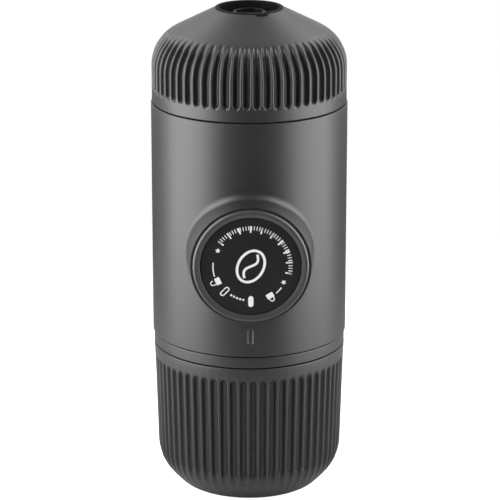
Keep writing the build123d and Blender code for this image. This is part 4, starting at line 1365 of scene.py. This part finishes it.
class ESPRESSO_OT_springs(bpy.types.Operator):
    """Let the valves' springs shorten as the valves lift"""
    # Give each valve's spring a mesh of its own

    bl_idname = "espresso.springs"
    bl_label = "Valve springs"

    lift = 1.0 * MM

    def execute(self, context):
        for valve in ("inlet_valve", "outlet_valve", "pressure_valve"):
            spring = f"{valve}_spring"
            piece = frame["nodes"][spring]
            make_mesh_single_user(piece)
        return {"FINISHED"}


# ---------------------------------------------------------------- stage
def camera_white(graph, gloss):
    """1 where the white is seen straight or through something, and as far as gloss says in a gloss."""
    path = graph.node("ShaderNodeLightPath", output="Is Camera Ray")
    seen = path.above(path.output("Is Transmission Ray"))
    return seen.above(path.output("Is Glossy Ray") * gloss)


class ESPRESSO_OT_stage(bpy.types.Operator):
    """Set the floor, the softboxes, the room light and the camera"""

    bl_idname = "espresso.stage"
    bl_label = "Stage"

    # Places from the object's centre, and sizes, in metres.
    high_place = (0.34, 0.33, 0.46)
    high_size = 0.3
    top_place = (0, 0.1, 1.1)
    top_size = 1.2
    floor_half = 6.0
    # Distances where the floor's tone, and its share of pure white, start to change and end.
    tone_edge = (90 * MM, 270 * MM)
    white_edge = (200 * MM, 500 * MM)
    # The near floor reaches further to the sides, where the lamps stand.
    side_share = 0.4
    # Where the floor turns white in a gloss: how far off, and how far back, in near radii.
    gloss_off = (1.0, 1.6)
    gloss_back = (-0.4, 0.4)
    # Where the backdrop starts to be white in a gloss, from the front to the back of a unit ball.
    backdrop_front = (-0.35, 0.15)

    def softbox(self, name, place_at, aim, width, height, radiance):
        """Rectangular lamp of an even radiance that faces a point."""
        lamp = bpy.data.lights.new(name, "AREA")
        lamp.shape = "RECTANGLE"
        lamp.size = width
        lamp.size_y = height
        lamp.energy = radiance * math.pi * width * height
        holder = bpy.data.objects.new(name, lamp)
        holder.location = place_at
        holder.rotation_euler = (aim - place_at).to_track_quat("-Z", "Y").to_euler()
        holder.visible_camera = False
        bpy.context.scene.collection.objects.link(holder)

    def floor(self, settings):
        """Wide floor that the camera sees as white, with the object's shadow."""
        mesh = bpy.data.meshes.new("floor")
        ends = (-self.floor_half, self.floor_half)
        corners = [(ends[i], ends[j], 0) for i, j in ((0, 0), (1, 0), (1, 1), (0, 1))]
        mesh.from_pydata(corners, [], [(0, 1, 2, 3)])
        material, graph, spot = new_finish("floor")
        x, y, _ = graph.split(spot)
        off = (x * x + y * y).root()
        aside = (x * x * self.side_share + y * y).root()
        ends = ((*settings.near_floor, 1.0), (*settings.floor, 1.0))
        tone = mix_colours(graph, aside.smooth(*self.tone_edge), *ends)
        base = graph.node("ShaderNodeBsdfDiffuse", None, {"Color": tone})
        lift = graph.node("ShaderNodeEmission", None, {"Strength": settings.floor_lift})
        both = graph.node("ShaderNodeAddShader", None, {0: base, 1: lift})
        white = graph.node("ShaderNodeEmission", None, {"Strength": 1.0})
        inputs = {0: off.smooth(*self.white_edge), 1: both, 2: white}
        both = graph.node("ShaderNodeMixShader", None, inputs)
        near = settings.floor_near
        off_edge, back_edge = ([near * k for k in edge] for edge in (self.gloss_off, self.gloss_back))
        gloss = off.smooth(*off_edge) * y.smooth(*back_edge)
        inputs = {0: camera_white(graph, gloss), 1: base, 2: both}
        seen = graph.node("ShaderNodeMixShader", None, inputs)
        graph.node("ShaderNodeOutputMaterial", None, {"Surface": seen})
        mesh.materials.append(material)
        new_piece("floor", mesh)

    def room(self, settings):
        """Even room light, which is white where the camera sees it."""
        world = bpy.data.worlds.new("room")
        world.use_nodes = True
        graph = Graph(world.node_tree)
        dim = graph.node("ShaderNodeBackground", None, {"Strength": settings.room})
        white = graph.node("ShaderNodeBackground", None, {"Color": (1, 1, 1, 1)})
        _, back, up = graph.split(graph.node("ShaderNodeTexCoord", output="Generated"))
        backdrop = back.smooth(*self.backdrop_front) * (1 - up.smooth(*settings.backdrop_top))
        inputs = {0: camera_white(graph, backdrop), 1: dim, 2: white}
        seen = graph.node("ShaderNodeMixShader", None, inputs)
        graph.node("ShaderNodeOutputWorld", None, {"Surface": seen})
        bpy.context.scene.world = world

    def camera(self, settings):
        """Camera that looks down at the object."""
        data = bpy.data.cameras.new("camera")
        data.lens = settings.lens
        data.sensor_width = 36.0
        data.shift_x = settings.shift
        holder = bpy.data.objects.new("camera", data)
        turn, distance = settings.azimuth, settings.distance
        holder.location = (math.sin(turn) * distance, -math.cos(turn) * distance, settings.height)
        holder.rotation_euler = (math.pi / 2 - settings.pitch, 0, turn)
        bpy.context.scene.collection.objects.link(holder)
        bpy.context.scene.camera = holder

    def execute(self, context):
        settings = context.scene.espresso_stage
        centre = (cad_bounds[0] + cad_bounds[1]) / 2
        side, back, up = self.high_place
        for name, sense, power, turn in (
            ("left_softbox", -1, settings.left_power, settings.left_azimuth),
            ("right_softbox", 1, settings.right_power, settings.right_azimuth),
        ):
            spot = Vector((sense * math.sin(turn), -math.cos(turn), 0)) * settings.lamp_distance
            spot.z = settings.lamp_height / 2
            size = (settings.lamp_width, settings.lamp_height)
            self.softbox(name, spot, Vector((0, 0, spot.z)), *size, power)
            spot = centre + Vector((sense * side, back, up))
            size = (self.high_size, self.high_size)
            self.softbox(f"high_{name}", spot, centre, *size, settings.high_power)
        over = centre + Vector(self.top_place)
        self.softbox("top_softbox", over, centre, self.top_size, self.top_size, settings.top_power)
        self.floor(settings)
        self.room(settings)
        self.camera(settings)
        context.scene.view_settings.view_transform = "Standard"
        return {"FINISHED"}


# ---------------------------------------------------------------- add-on
OPERATORS = (
    ESPRESSO_OT_dome,
    ESPRESSO_OT_case,
    ESPRESSO_OT_collar,
    ESPRESSO_OT_cup,
    ESPRESSO_OT_knob,
    ESPRESSO_OT_marks,
    ESPRESSO_OT_spout,
    ESPRESSO_OT_inner_finishes,
    ESPRESSO_OT_springs,
    ESPRESSO_OT_stage,
)


class ESPRESSO_PT_panel(bpy.types.Panel):
    """Sizes, colours and steps of the espresso maker"""

    bl_idname = "ESPRESSO_PT_panel"
    bl_label = "Espresso maker"
    bl_space_type = "VIEW_3D"
    bl_region_type = "UI"
    bl_category = "Espresso"

    def draw(self, context):
        for operator in OPERATORS:
            self.layout.operator(operator.bl_idname)
        for name, group in GROUPS.items():
            box = self.layout.box()
            box.label(text=group.__doc__)
            for setting in group.__annotations__:
                box.prop(getattr(context.scene, name), setting)


CLASSES = (*GROUPS.values(), *OPERATORS, ESPRESSO_PT_panel)


def register():
    """Register the classes and hang the settings on the scene."""
    for item in CLASSES:
        bpy.utils.register_class(item)
    for name, group in GROUPS.items():
        setattr(bpy.types.Scene, name, PointerProperty(type=group))


def unregister():
    """Take the settings and the classes away again."""
    for name in GROUPS:
        delattr(bpy.types.Scene, name)
    for item in reversed(CLASSES):
        bpy.utils.unregister_class(item)


def main():
    """Make every piece and the stage."""
    register()
    for operator in OPERATORS:
        getattr(bpy.ops.espresso, operator.bl_idname.split(".")[1])()


if __name__ == "__main__":
    main()
